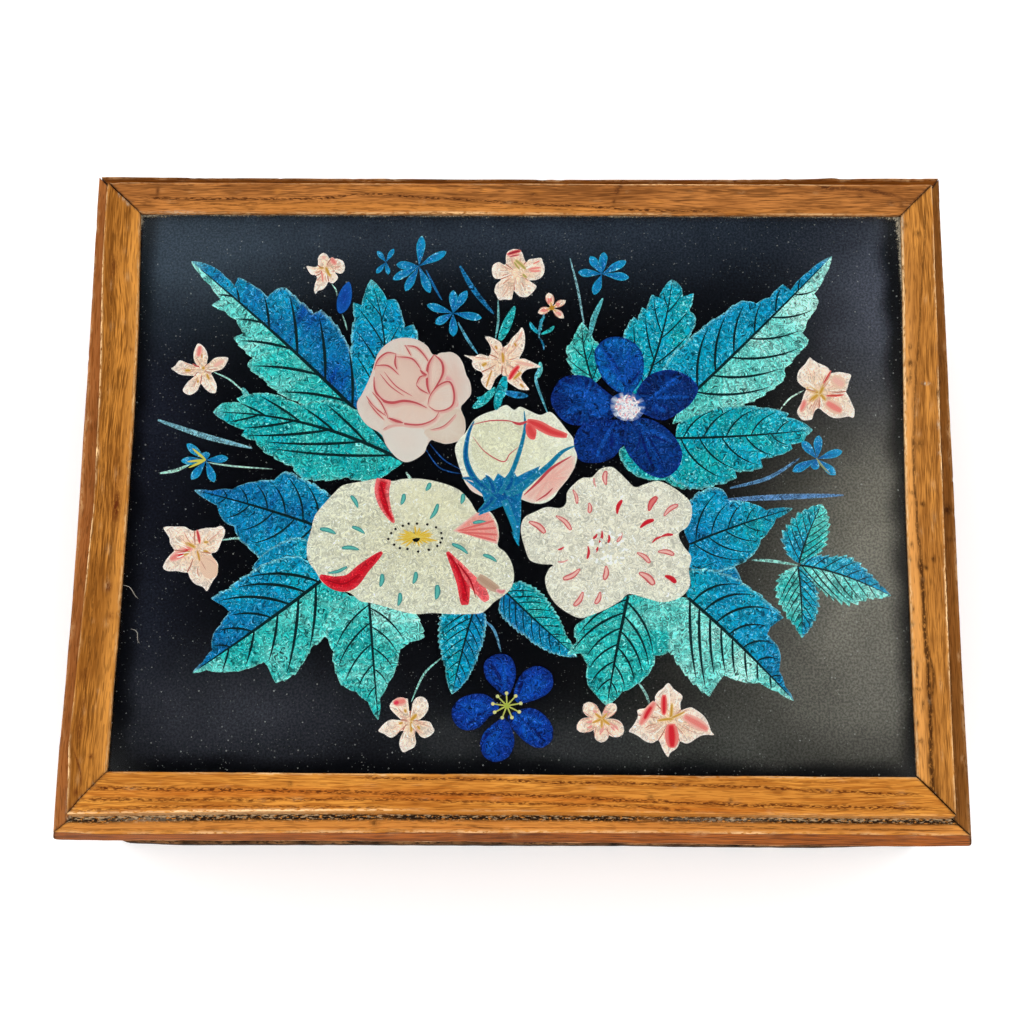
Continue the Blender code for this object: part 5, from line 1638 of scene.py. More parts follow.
# centre, outline, touches of the brush as start, end, width, core and soft colour
cutBlossoms = [
    (
        (51.7, -79.1),
        [
            51.3, -66.8, 53.1, -68.8, 55.4, -70.5, 55.9, -71.8, 55.2, -73.5, 55.4, -75.8, 56.4, -75.5, 58.4,
            -74.9, 59.7, -75.3, 62.6, -77.4, 64.2, -79.7, 65.2, -82.7, 66.1, -84, 63.5, -84, 61.5, -84.5,
            58.5, -86.4, 56.9, -86.9, 54.9, -86.2, 54.6, -87.1, 53.6, -88.7, 51.6, -90.1, 50.9, -91.4, 49.3,
            -89.1, 48, -86.1, 47.3, -86, 45.7, -86.8, 43.4, -86.2, 41.1, -84.5, 39.1, -83.5, 38.1, -82.9,
            39.8, -80.6, 41.1, -77.9, 41, -75.9, 43.5, -75.2, 45.1, -73.9, 46.8, -72.8, 46.8, -71.5, 47.8,
            -69.8, 49.5, -68.5
        ],
        [
            (49.8, -70.8, 49.7, -77.5, 2.3, redTouch), (46.8, -73.2, 41.8, -80.9, 3.0, coralTouch),
            (45.8, -74.5, 43.1, -79.2, 2.2, redTouch), (52.0, -80.5, 52.3, -88.4, 4.6, redTouch),
            (56.3, -77.8, 64.2, -82.4, 3.6, coralTouch), (51.7, -79.8, 52.4, -73.5, 1.4, goldTouch),
            (50.7, -79.2, 56.7, -76.4, 1.0, goldTouch), (53.0, -78.8, 47.4, -79.5, 1.2, goldTouch)
        ]
    ),
    (
        (-108.1, -23.0),
        [
            -119.6, -14.7, -118.1, -14.2, -115.3, -14.2, -112.6, -14.2, -110.9, -15, -109.1, -15.7, -106.8,
            -15, -104.4, -14.6, -102, -14.5, -100, -13.9, -98.6, -15.3, -98.8, -17.4, -99.6, -19.2, -100.4,
            -21.6, -101.3, -23, -102.8, -23.5, -102.3, -24.7, -100.6, -26.8, -100.4, -28.9, -100.6, -31,
            -101.9, -33, -103.1, -35.5, -103.9, -36.5, -105.3, -35.1, -107.9, -34.1, -109.7, -32.1, -110.5,
            -30.3, -111.8, -30.2, -114.2, -29.7, -117.3, -29.7, -119, -28.6, -118.5, -26.6, -117.2, -24.5,
            -115.6, -22.7, -116, -21.7, -117.1, -20, -117.4, -18.2, -118.5, -16.5
        ],
        [
            (-108.1, -15.4, -106.9, -20.2, 1.1, ((196, 50, 56), softRed)),
            (-109.5, -21.3, -116.8, -25.9, 3.4, coralTouch), (-110.5, -22.0, -114.5, -25.2, 2.2, redTouch),
            (-104.6, -24.4, -101.9, -32.0, 6.0, (peach, peach)),
            (-108.2, -21.6, -112.0, -19.9, 1.6, goldTouch), (-105.6, -19.5, -103.9, -19.5, 1.1, goldTouch),
            (-107.8, -22.3, -106.6, -26.5, 1.3, amberTouch), (-110.2, -22.7, -112.4, -24.4, 1.2, goldTouch),
            (-105.7, -22.7, -103.7, -23.4, 1.0, goldTouch)
        ]
    ),
    (
        (104.5, 34.7),
        [
            101.3, 47.2, 102.5, 46.3, 104.5, 45.1, 107.2, 43.8, 108.2, 42.4, 108.4, 41.6, 110.9, 42, 113.3,
            41.7, 115.4, 40.9, 114.6, 38.4, 114, 36.2, 113.5, 34.8, 114.4, 33, 115.7, 29.8, 116.2, 28,
            115.7, 25.6, 113.9, 26, 111.1, 25.4, 108.4, 25.6, 106, 27.2, 104, 28.8, 102.6, 27.9, 101.7,
            25.7, 101.2, 24.8, 98.4, 24.6, 96.8, 26.4, 96.6, 28.2, 97.9, 30.7, 99, 34, 99.8, 35.8, 98.4,
            36.9, 96.9, 38.7, 97, 41.2, 97.9, 43, 99.7, 44.9
        ],
        [
            (108.5, 42.4, 105.7, 37.6, 0.7, ((196, 56, 50), softRed)),
            (106.6, 33.3, 112.7, 33.7, 0.9, ((200, 66, 54), softRed)),
            (108.8, 39.8, 112.9, 36.9, 4.6, blushTouch), (106.5, 31.1, 111.9, 27.6, 4.4, (softRed, peach)),
            (99.3, 31.8, 97.8, 27.5, 2.2, coralTouch), (104.5, 34.0, 99.8, 36.2, 2.0, goldTouch),
            (104.2, 34.0, 100.7, 31.1, 2.0, goldTouch), (103.8, 34.4, 106.5, 31.5, 1.6, goldTouch),
            (104.2, 33.7, 106.0, 37.6, 1.6, goldTouch)
        ]
    ),
    (
        (-4.8, 45.5),
        [
            1.7, 57.8, 2.6, 55.8, 2.8, 52.5, 2.3, 49.5, 0.8, 46.1, 2.5, 46.4, 4.6, 45.5, 6, 44.8, 8.4, 43.4,
            6, 43, 3.6, 42.4, 1.9, 40.8, 1.7, 39, 3.3, 36.8, 4.3, 35, 1.2, 35.2, -0.9, 36.4, -3, 37.9, -4,
            38.9, -4.7, 40, -5.4, 40.8, -7.1, 39.3, -8.1, 37.5, -9.1, 34.9, -11.2, 36.2, -12.3, 38.5, -11.6,
            40, -12.3, 41.5, -14.4, 42.5, -15.5, 44.3, -15.5, 45.8, -18.3, 47.6, -15.2, 46.9, -12.8, 48,
            -10.7, 47.3, -10, 46.7, -9, 48.8, -9.1, 50.6, -10, 52.4, -11.1, 54.2, -9.7, 54.4, -6.9, 53.2,
            -5.5, 52.1, -4.8, 50.6, -3.1, 51.7, -1.7, 53.9, 0.4, 56.1
        ],
        [
            (0.8, 43.7, -2.6, 38.6, 2.0, redTouch), (1.5, 41.5, -1.2, 38.6, 1.4, goldTouch),
            (-5.1, 48.8, -4.7, 44.4, 1.8, amberTouch), (-7.6, 51.0, -6.9, 49.5, 1.1, amberTouch),
            (-1.0, 52.1, -0.3, 50.6, 1.3, amberTouch), (-12.0, 43.6, -10.3, 44.7, 1.6, goldTouch),
            (-8.5, 42.2, -10.5, 35.7, 1.0, amberTouch), (0.4, 53.2, 1.7, 56.1, 1.0, blushTouch),
            (1.2, 37.2, 2.6, 35.7, 1.2, amberTouch), (-0.2, 45.1, 6.0, 43.7, 1.4, blushTouch)
        ]
    ),
    (
        (-67.6, 79.2),
        [
            -68.3, 85.2, -67.1, 84.6, -65.8, 82.9, -63.5, 83.1, -61.7, 82.4, -61, 81.5, -60.6, 79.6, -61.2,
            77.9, -62.6, 77.5, -63.9, 78.5, -63.9, 77.7, -62.9, 75.9, -64.4, 74, -65.5, 74, -66.2, 74.4,
            -67, 72.9, -68.1, 71.6, -69.8, 71, -70.6, 69.9, -71.2, 71.4, -70.9, 73.6, -70.3, 75.8, -71,
            76.9, -72.3, 77.1, -73.6, 78.8, -74.1, 80.3, -72.5, 79.9, -70.4, 80.1, -70.1, 81.4, -70.2, 83.3,
            -69.4, 84.6
        ],
        [
            (-65.6, 83.3, -63.8, 80.7, 2.0, coralTouch), (-69.0, 78.8, -68.1, 74.0, 0.9, (softRed, peach)),
            (-67.3, 79.9, -65.4, 76.2, 1.6, goldTouch), (-68.0, 79.6, -69.7, 79.6, 1.2, goldTouch),
            (-68.8, 83.3, -67.4, 83.3, 1.6, blushTouch)
        ]
    ),
    (
        (-109.1, 41.7),
        [
            -111, 51.4, -109.2, 50.5, -107.9, 48.7, -107.3, 46.5, -107.5, 44.7, -107.3, 43.8, -106.1, 44.7,
            -105.1, 46, -103.1, 46.5, -100.3, 46.3, -100.7, 44.3, -102.2, 42.1, -104.9, 41.2, -105.9, 40.5,
            -105, 38.9, -103.8, 36.3, -103.8, 34.5, -104.2, 33.4, -106, 33.6, -107.8, 35, -109.2, 36.7,
            -109.7, 35.9, -110.5, 34.1, -112.8, 32.7, -114.8, 33.4, -115.4, 34.6, -114.4, 36.6, -113.1,
            38.1, -111.4, 39, -112.1, 39.6, -113.9, 39.7, -116.7, 40.1, -118.5, 41.2, -119.8, 42.2, -118.6,
            43.2, -117.6, 44.8, -116.6, 45.2, -114.5, 44.3, -112.3, 43.6, -110.9, 43.2, -111.9, 45, -112.3,
            46.8, -112.1, 49
        ],
        [
            (-110.2, 50.5, -110.7, 46.5, 2.0, coralTouch),
            (-112.4, 43.9, -109.9, 42.8, 0.6, ((166, 50, 46), softRed)),
            (-105.0, 42.9, -101.6, 45.1, 2.0, blushTouch), (-109.1, 42.1, -108.1, 42.5, 1.6, goldTouch),
            (-115.0, 41.4, -112.9, 41.4, 1.4, goldTouch), (-107.3, 40.3, -106.2, 38.1, 1.1, goldTouch),
            (-111.0, 38.5, -110.3, 37.0, 1.1, goldTouch), (-109.8, 48.0, -109.3, 45.8, 0.8, amberTouch)
        ]
    ),
    (
        (-0.2, 78.0),
        [
            -1.1, 86.9, 0.5, 86.6, 1.7, 85.4, 2.2, 83.6, 3.1, 81.9, 4, 83, 6.1, 83.4, 8.2, 83.6, 8.9, 82.1,
            9.5, 79.9, 9.3, 78, 8.3, 76.3, 6.5, 75.4, 4.4, 75.2, 3.9, 74.8, 5.5, 74.1, 6.7, 73, 5.8, 71.3,
            4.4, 69.8, 3.1, 69, 1, 69.2, -0.5, 70.5, -1.2, 71.4, -1.7, 70.1, -2, 68.1, -4.3, 68.1, -6.4,
            67.9, -7.3, 69.7, -8, 71, -7.5, 73.5, -6.1, 75, -5.9, 75.7, -7.9, 75.9, -8.9, 77.9, -8.8, 80.5,
            -7.6, 81.7, -6.2, 81.9, -4.9, 81.1, -4.1, 81.5, -4.1, 83.9, -3.7, 85.6, -2.5, 86.6
        ],
        [
            (-3.7, 84.7, 1.2, 86.2, 1.5, ((170, 22, 46), softRed)),
            (-3.0, 83.9, 0.8, 84.7, 0.9, ((196, 60, 76), blush)), (3.7, 79.1, 8.2, 79.9, 1.0, coralTouch),
            (4.0, 78.7, 8.2, 78.7, 0.9, coralTouch),
            (-0.9, 82.8, 3.0, 79.1, 1.6, ((176, 160, 84), paleGold)),
            (-1.3, 82.1, 0.9, 79.1, 1.0, ((176, 160, 84), paleGold)),
            (5.4, 81.3, 7.9, 82.5, 0.8, (softRed, peach)),
            (1.9, 77.6, 3.4, 76.1, 1.2, ((176, 160, 84), paleGold))
        ]
    ),
    (
        (-34.3, -80.1),
        [
            -34.4, -76.7, -33.7, -76.4, -33.6, -74.1, -32.5, -72.4, -30.8, -71.9, -29.2, -72.7, -28.3,
            -74.7, -28.6, -76.7, -30, -78.7, -31.7, -80, -30, -79.9, -27.7, -80.4, -26.7, -82, -26.2, -83.3,
            -27.3, -84.7, -29.3, -85.7, -30.9, -85, -31.6, -83.9, -32.3, -83, -32.6, -84.7, -32.2, -87,
            -32.8, -88.7, -34.5, -89.7, -36.3, -90.4, -37.4, -89, -37.7, -87.1, -37.2, -85.1, -36.4, -83.4,
            -37.9, -83.7, -39.2, -85.1, -40.8, -85.6, -42.8, -84.4, -44.7, -83.5, -43.9, -82.1, -42.3,
            -80.5, -40.3, -79.6, -38.6, -80.3, -37.3, -79.8, -38.7, -78.4, -40.7, -76.4, -41.2, -75.1,
            -40.6, -73.8, -39.5, -72.9, -37.1, -72.7, -35.2, -72.7, -35.6, -75.1, -35.1, -76.4
        ],
        [
            (-35.8, -73.4, -40.1, -74.1, 3.0, coralTouch),
            (-38.1, -73.8, -39.8, -74.4, 2.0, ((232, 46, 80), softRed)),
            (-34.3, -80.1, -32.1, -77.7, 1.7, goldTouch), (-36.4, -76.4, -35.7, -77.4, 1.2, goldTouch),
            (-38.0, -81.1, -36.6, -80.7, 1.0, goldTouch), (-34.0, -80.1, -33.9, -84.0, 1.3, goldTouch),
            (-32.0, -81.7, -31.0, -83.0, 1.0, goldTouch)
        ]
    )
]


def paintCutBlossom(centre, outline, touches):
    # petals cut in one sheet; a crease runs in from every notch between two petals, hair lines run out to
    # the tips
    seed = round(abs(centre[0]) * 7)
    addPatch("blooms", centre, outline, 7.4, *petalTones["cut"], 1.0, 0.4, petalTones["rim"], seed)
    centre = np.array(centre)
    draw = np.random.default_rng(round(abs(centre[1]) * 9))
    rim = throughPoints(outline, 120, True)
    reach = np.linalg.norm(rim - centre, axis=1)
    nearest = reach <= np.minimum(np.roll(reach, 1), np.roll(reach, -1))
    for place in rim[(reach < np.roll(reach, 3)) & (reach < np.roll(reach, -3)) & nearest]:
        crease = bent(place, centre + (place - centre) * 0.3, draw.uniform(-0.3, 0.3, 2))
        addStroke(crease, 0.42, petalTones["crease"], None, (0.7, 0.1), 0.2)
    for _ in range(26):
        tip = rim[draw.integers(120)] - centre
        start, end = centre + tip * draw.uniform(0.2, 0.5), centre + tip * draw.uniform(0.62, 0.92)
        core = petalTones["hairs"][draw.integers(3)]
        addStroke(
            bent(start, end, draw.uniform(-0.5, 0.5, 2)), draw.uniform(0.24, 0.5), core, None, (0.3, 0.1)
        )
    for *ends, width, (core, soft) in touches:
        addStroke(bent(*asPoints(ends), draw.uniform(-0.25, 0.25, 2)), width, core, soft, (0.5, 0.3), 0.5)


def paintSmallPetal(draw, here, angle, length, half, red, point):
    # one petal with a red flame, short seeded streaks, a gold heart and a fringe line near each side
    addPetal(
        here, angle, length, half, 7.4, *petalTones["small"], 0.6, point, 0.3, petalTones["smallRim"],
        round(angle) + 7
    )
    forward = direction(angle)
    aside = np.array([-forward[1], forward[0]])

    def at(out, side=0.0):
        return here + forward * length * out + aside * half * side

    if red > 0.75:
        addStroke(bent(at(0.36), at(0.84), aside * 0.5), half * 1.1, *petalTones["flame"], (0.3, 0.3), 0.6)
    for _ in range(round(2 + red * 6)):
        shift = draw.uniform(-0.6, 0.6)
        start = here + forward * length * draw.uniform(0.25, 0.5) + aside * half * shift * 0.7
        end = start + forward * length * draw.uniform(0.15, 0.35) + aside * half * draw.uniform(-0.15, 0.15)
        core = (236, 120 + 60 * (1 - red), 110 + 60 * (1 - red))
        addStroke(bent(start, end, aside * 0.2), draw.uniform(0.35, 0.9), core)
    addStroke(bent(here, at(0.4)), half * 0.42, *petalTones["heart"], (0.7, 0.2), 0.4)
    for side in (-0.85, 0.85):
        addStroke(bent(at(0.3, side * 0.75), at(0.8, side), aside * side * 0.3), 0.3, petalTones["fringe"])


def paintSmallFlowers():
    for group, layer in ((spears, 1.4), (topSpears, 11.2)):
        for points, width, hue, pale in group:
            colour = blend(hueTones(np.array(hue)), screenTones((206, 212, 190)), pale)
            screen = toScreen(colour)
            addStroke(points, width, screen, screen * 0.85 + 30, (0.35, 0.12), 0.5, "leaves", layer, 1.0)
    for centre, petals, half in blueStars:
        for angle, length in petals:
            addPetal(
                centre, angle, length, half, 7.2, *petalTones["star"], 0.66, 0.7, 0.35,
                petalTones["starRim"], round(angle)
            )
    start = np.array(blueStars[4][0])
    for angle in (140, 186, 206):
        addStroke(bent(start, start + direction(angle) * 6.4)[::2], 0.9, (214, 204, 84))
    addStroke([102.5, 11.1, 104.4, 8.3, 107.1, 5.5], 0.7, (150, 160, 110))
    leafBud = [-59, 74.4, -57.9, 70.7, -58.4, 66.2, -60.4, 63.2, -62.5, 63.2, -63, 67.7, -61.4, 72.1]
    addPatch("blooms", (-60.6, 69.2), leafBud, 7.2, (6, 60, 150), (10, 90, 180), 0.6)
    draw = np.random.default_rng(11)
    for centre, petals, point in smallBlossoms:
        here = np.array(centre)
        for petal in petals:
            paintSmallPetal(draw, here, *petal, point)
        addDot(centre, 0.9, (196, 140, 40))
    for blossom in cutBlossoms:
        paintCutBlossom(*blossom)


def brushPetal(centre, outline, layer, inner, outer, seed, count=9):
    # a blue petal with strokes of the brush that run from the flower's centre out to its edge
    centre = np.array(centre)
    heart = asPoints(outline).mean(axis=0)
    addPatch("leaves", heart, outline, layer, inner, outer, 1.0, 0.9, (4, 40, 120), seed)
    draw = np.random.default_rng(seed)
    rim = throughPoints(outline, 40, True)
    for pick in draw.integers(0, 40, count):
        start = centre + (heart - centre) * draw.uniform(0.35, 0.7)
        end = heart + (rim[pick] - heart) * draw.uniform(0.6, 0.92)
        if (end - start) @ (heart - centre) > 0:
            core = (8, 72, 160) if draw.random() < 0.6 else (2, 24, 96)
            curve = bent(start, end, draw.uniform(-0.6, 0.6, 2))
            addStroke(
                curve, draw.uniform(1.4, 3.0), core, inner, (0.2, 0.15), 0.5, "leaves", layer + 0.3, 1.0
            )


def paintBlueFlowers():
    navy, blue, bright = (0, 30, 98), (0, 64, 142), (0, 94, 168)
    heart = (38.4, 29.0)
    for outline, inner, outer, seed in (
        (
            [
                30.9, 53.7, 35.8, 54.4, 40.3, 52.6, 43.4, 48.6, 44, 43.2, 42.6, 38.1, 39.1, 33.7, 35, 34.4,
                30.2, 38.7, 27.5, 44.5, 27.1, 49.6
            ],
            blue, bright, 51
        ),
        (
            [
                15, 38.7, 20.5, 40.5, 25.4, 39.4, 29.5, 35.8, 34.3, 31.5, 35, 27.2, 30.8, 24, 24.7, 22.5,
                18.5, 22.8, 14, 26.4, 11.9, 32.1
            ],
            blue, navy, 52
        ),
        (
            [
                41.2, 33.7, 44, 38.8, 48.2, 41.7, 53.7, 42.5, 59.2, 40.3, 62.6, 36, 60.5, 30.9, 56.3, 27.3,
                50.8, 24.4, 45.3, 25.8, 41.9, 28.7
            ],
            (0, 46, 114), (0, 24, 82), 53
        ),
        (
            [
                38.4, 24.4, 43.9, 25.1, 49.4, 23, 54.1, 18.7, 56.8, 13, 55.4, 7.3, 50.6, 3.8, 45.1, 5.2,
                40.4, 9.4, 37, 15.1, 36.3, 20.8
            ],
            (0, 54, 124), (0, 38, 106), 54
        ),
        (
            [
                36.3, 24.3, 30.8, 23.6, 25.4, 23.6, 21.2, 20.7, 19.9, 15, 21.9, 10, 27.4, 9, 32.9, 10.8,
                36.3, 15.1, 38, 20.1
            ],
            (0, 38, 108), (0, 50, 128), 55
        )
    ):
        brushPetal(heart, outline, 8 + seed % 5 * 0.02, inner, outer, seed)
    addPatch(
        "blooms", heart, [32.9, 32.2, 37.8, 34.4, 43.3, 32.3, 44.3, 28, 41.2, 24.4, 36.3, 24.3, 32.9, 27.2],
        8.8, (230, 234, 240), (14, 70, 150), 0.4, 0.6, None, 61
    )
    paintDots(heart, 4.2, 210, 0.9, [(246, 238, 240), (240, 222, 226), (236, 170, 178), (252, 250, 250)], 4)
    heart = (-2.3, -74.8)
    for outline, seed in (
        (
            [
                -10, -60.8, -7.4, -58.1, -3.7, -57.4, -0.7, -59.1, 0.6, -63.4, -0.3, -68.1, -2.3, -71.5,
                -5.6, -69.5, -9.3, -65.5
            ],
            66
        ),
        (
            [
                0, -70.8, 1.3, -66.1, 4, -62.7, 8, -61.4, 12, -63.4, 13, -67.4, 11, -70.7, 6, -73.1, 1.4,
                -73.8
            ],
            67
        ),
        (
            [
                0.1, -76.8, 5.4, -75.5, 9.7, -77.4, 12.7, -81.4, 12.7, -86, 8.8, -88.7, 4.1, -86.8, 0.1,
                -82.8, -1.9, -78.8
            ],
            68
        ),
        (
            [
                -2.9, -78.9, -0.5, -82.8, 0.2, -87.5, -1.8, -91.8, -6, -93.4, -9.7, -91.5, -11, -87.5, -9.4,
                -83.5, -5.8, -80.2
            ],
            69
        ),
        (
            [
                -4.9, -75.5, -8.5, -78.9, -11.8, -82.2, -16.4, -82.9, -19.7, -80.3, -20.5, -76.3, -17.9,
                -72.6, -13.2, -70.9, -8.6, -71.5
            ],
            70
        )
    ):
        brushPetal(heart, outline, 7.4, (0, 60, 154), (4, 44, 132), seed, 6)
    heart = np.array(heart)
    for number in range(9):
        turn = math.tau * number / 9 + 0.2
        end = heart + np.array([4.7 * math.cos(turn), 4.2 * math.sin(turn)])
        addStroke(bent(heart, end), 0.5, (196, 196, 96), None, (0.9, 0.6))
        addDot(end, 0.62, (216, 212, 140))
    addDot(heart, 1.0, (170, 180, 70))


def paintDots(centre, spread, count, size, tones, seed):
    # short seeded touches scattered over a disc
    draw = np.random.default_rng(seed)
    angle, out = draw.uniform(0, math.tau, count), spread * np.sqrt(draw.uniform(0, 1, count))
    places = np.array(centre) + np.stack([out * np.cos(angle), out * np.sin(angle)], axis=1)
    for place, turn in zip(places, draw.uniform(0, math.pi, count)):
        step = size * draw.uniform(0.5, 1.3) * np.array([math.cos(turn), math.sin(turn)])
        addStroke(
            [place - step / 2, place, place + step / 2], size * 0.55, tones[draw.integers(len(tones))],
            None, (0.6, 0.5)
        )


def paintLeftBlossom():
    pearl, cream = (224, 220, 200), (218, 212, 184)
    centre = (-33.6, -17.4)
    outline = [
        -55.9, 1.4, -51.1, 2.2, -47.7, 2.9, -42.2, 2.2, -38.2, 3, -32, 3, -25.1, 1.6, -19.3, -0.8, -15.5,
        -4.7, -12.7, -8.9, -9, -8.2, -6.2, -12.3, -5.5, -16.9, -5.8, -20.4, -3.1, -22.8, -1, -26.6, -0.3,
        -31.1, -1.3, -34.9, -3.9, -37.6, -6.9, -39.7, -8.9, -41.8, -11.3, -43.5, -15.6, -43.9, -21.7, -43.9,
        -27.7, -43.6, -33.1, -44, -38.5, -43, -43.2, -41.6, -48.3, -40.3, -52, -39.6, -55.5, -36.9, -60.2,
        -35.9, -64.7, -33.5, -67.2, -29.7, -70, -25.6, -70.5, -20.4, -69.3, -15.1, -68.2, -10.2, -65.2, -6,
        -61.9, -2.1, -59.3, 0.4
    ]
    addPatch("blooms", centre, outline, 8, cream, pearl, 1.0, 0.25, None, 21)
    addPatch(
        "blooms", (-29.1, -6.2),
        [
            -39.5, 1.9, -32, 2.6, -25.1, 1.3, -19.3, -1.5, -15.5, -5.4, -13.1, -9.6, -16.8, -12.1, -22.8,
            -13.8, -31, -14.2, -37.8, -12.2, -41.3, -6.6, -42.2, -1
        ],
        8.4, (226, 219, 188), (226, 220, 194), 0.55, 0.3, (230, 225, 204), 22
    )
    addPatch(
        "blooms", (-10.6, -12.7),
        [
            -21.1, -15.2, -17.4, -12.1, -13.4, -8.9, -9, -8.5, -6.6, -12.4, -5.5, -16.9, -6.1, -19.7, -10.6,
            -18.3, -16, -16.6
        ],
        8.5, (236, 168, 158), (238, 150, 140), 0.25, 0.5, (236, 196, 186), 23, True
    )
    teal, tealEdge = (96, 184, 176), (44, 132, 136)
    for *ends, width in (
        (-56.1, -3.1, -53.6, -7.4, 1.5), (-38.0, -2.3, -39.0, -6.2, 1.6), (-29.2, 1.6, -30.6, -1.2, 1.6),
        (-17.9, -2.2, -18.5, -5.8, 1.6), (-26.4, -5.8, -29.0, -11.1, 1.5),
        (-66.3, -14.8, -60.8, -16.5, 1.6), (-55.4, -14.0, -51.0, -16.4, 1.4),
        (-58.6, -21.4, -52.8, -22.0, 1.5), (-56.7, -27.9, -63.1, -30.1, 1.2),
        (-44.8, -30.3, -45.4, -34.8, 1.7), (-38.6, -36.8, -39.2, -41.3, 1.6),
        (-33.4, -29.5, -34.3, -33.7, 1.6), (-26.2, -34.0, -26.5, -39.1, 2.0),
        (-21.4, -19.8, -15.9, -23.2, 1.5), (-10.8, -23.5, -6.1, -25.9, 1.4),
        (-14.4, -12.4, -9.3, -12.4, 1.3)
    ):
        addStroke(leaning(ends, 0.08), width, teal, tealEdge, (0.5, 0.15), 0.4)
    red, soft = (206, 12, 34), (238, 110, 112)
    addStroke(
        [-45, 2.9, -45.6, -1.7, -44.1, -7.3, -41.2, -12.5], 5.2, red, soft, (0.9, 0.1), 0.12, "blooms", 8.7,
        0.9
    )
    addStroke(
        [-65.8, -31.1, -60.6, -33.5, -55.6, -33.1, -51, -28.3, -45, -22.7], 5.6, red, (214, 40, 54),
        (0.2, 0.14), 0.42, "blooms", 8.7, 0.9
    )
    addStroke(
        [-23, -22.5, -19.9, -27.4, -17.5, -32.9, -16.7, -40.8], 4.4, red, (226, 60, 70), (0.2, 0.5), 0.62,
        "blooms", 8.7, 0.9
    )
    addStroke(
        [-20.6, -24.6, -15.8, -30.8, -11.7, -35.6, -9.3, -39.4], 4.0, (230, 84, 92), soft, (0.2, 0.4), 0.6,
        "blooms", 8.8, 0.9
    )
    for start, middle, end in (
        ((-22.0, -23.9), (-18.5, -29.4), (-15.7, -39.1)), ((-19.2, -26.7), (-15.1, -32.2), (-13.0, -38.4)),
        ((-63.7, -32.5), (-57.6, -33.8), (-52.3, -30.3)), ((-46.3, 1.9), (-44.8, -3.1), (-43.0, -8.0))
    ):
        addStroke([start, middle, end], 0.6, (170, 8, 28), None, (0.3, 0.2))
    addStroke(
        [-12.4, -31.1, -9, -33.5, -5.6, -35.6], 3.4, (188, 150, 128), (202, 170, 148), (0.7, 0.6), 0.4
    )
    addStroke([-6.3, -35.6, -4.3, -36.3, -3.3, -35.6], 1.6, (224, 130, 134), (232, 180, 176), (0.5, 0.4))
    for start, end in (
        ((-19.8, -15.2), (-7.3, -11.7)), ((-19.4, -15.2), (-6.5, -14.1)), ((-19.4, -15.6), (-6.2, -16.5)),
        ((-18.7, -15.6), (-6.5, -18.6))
    ):
        addStroke(bent(start, end), 0.8, (226, 112, 108), None, (0.1, 0.5), 0.7)
    centre = np.array(centre)
    draw = np.random.default_rng(17)
    for number in range(22):
        turn = math.tau * number / 22 + draw.uniform(-0.1, 0.1)
        reach = draw.uniform(0.5, 0.88)
        end = centre + np.array([9.4 * reach * math.cos(turn), 4.6 * reach * math.sin(turn)])
        addStroke(bent(centre, end), 0.8, (222, 176, 44), (232, 206, 104), (0.8, 0.15), 0.3)
    for number in range(17):
        turn = math.tau * number / 17 + draw.uniform(-0.1, 0.1)
        spot = centre + np.array([9.6 * math.cos(turn), 5.0 * math.sin(turn)]) * draw.uniform(0.86, 1.06)
        addStroke([spot - (0.2, 0.35), spot, spot + (0.2, 0.35)], 0.85, (14, 12, 10), None, (0.6, 0.5))
    addDot(centre, (1.5, 1.9), (12, 10, 8))


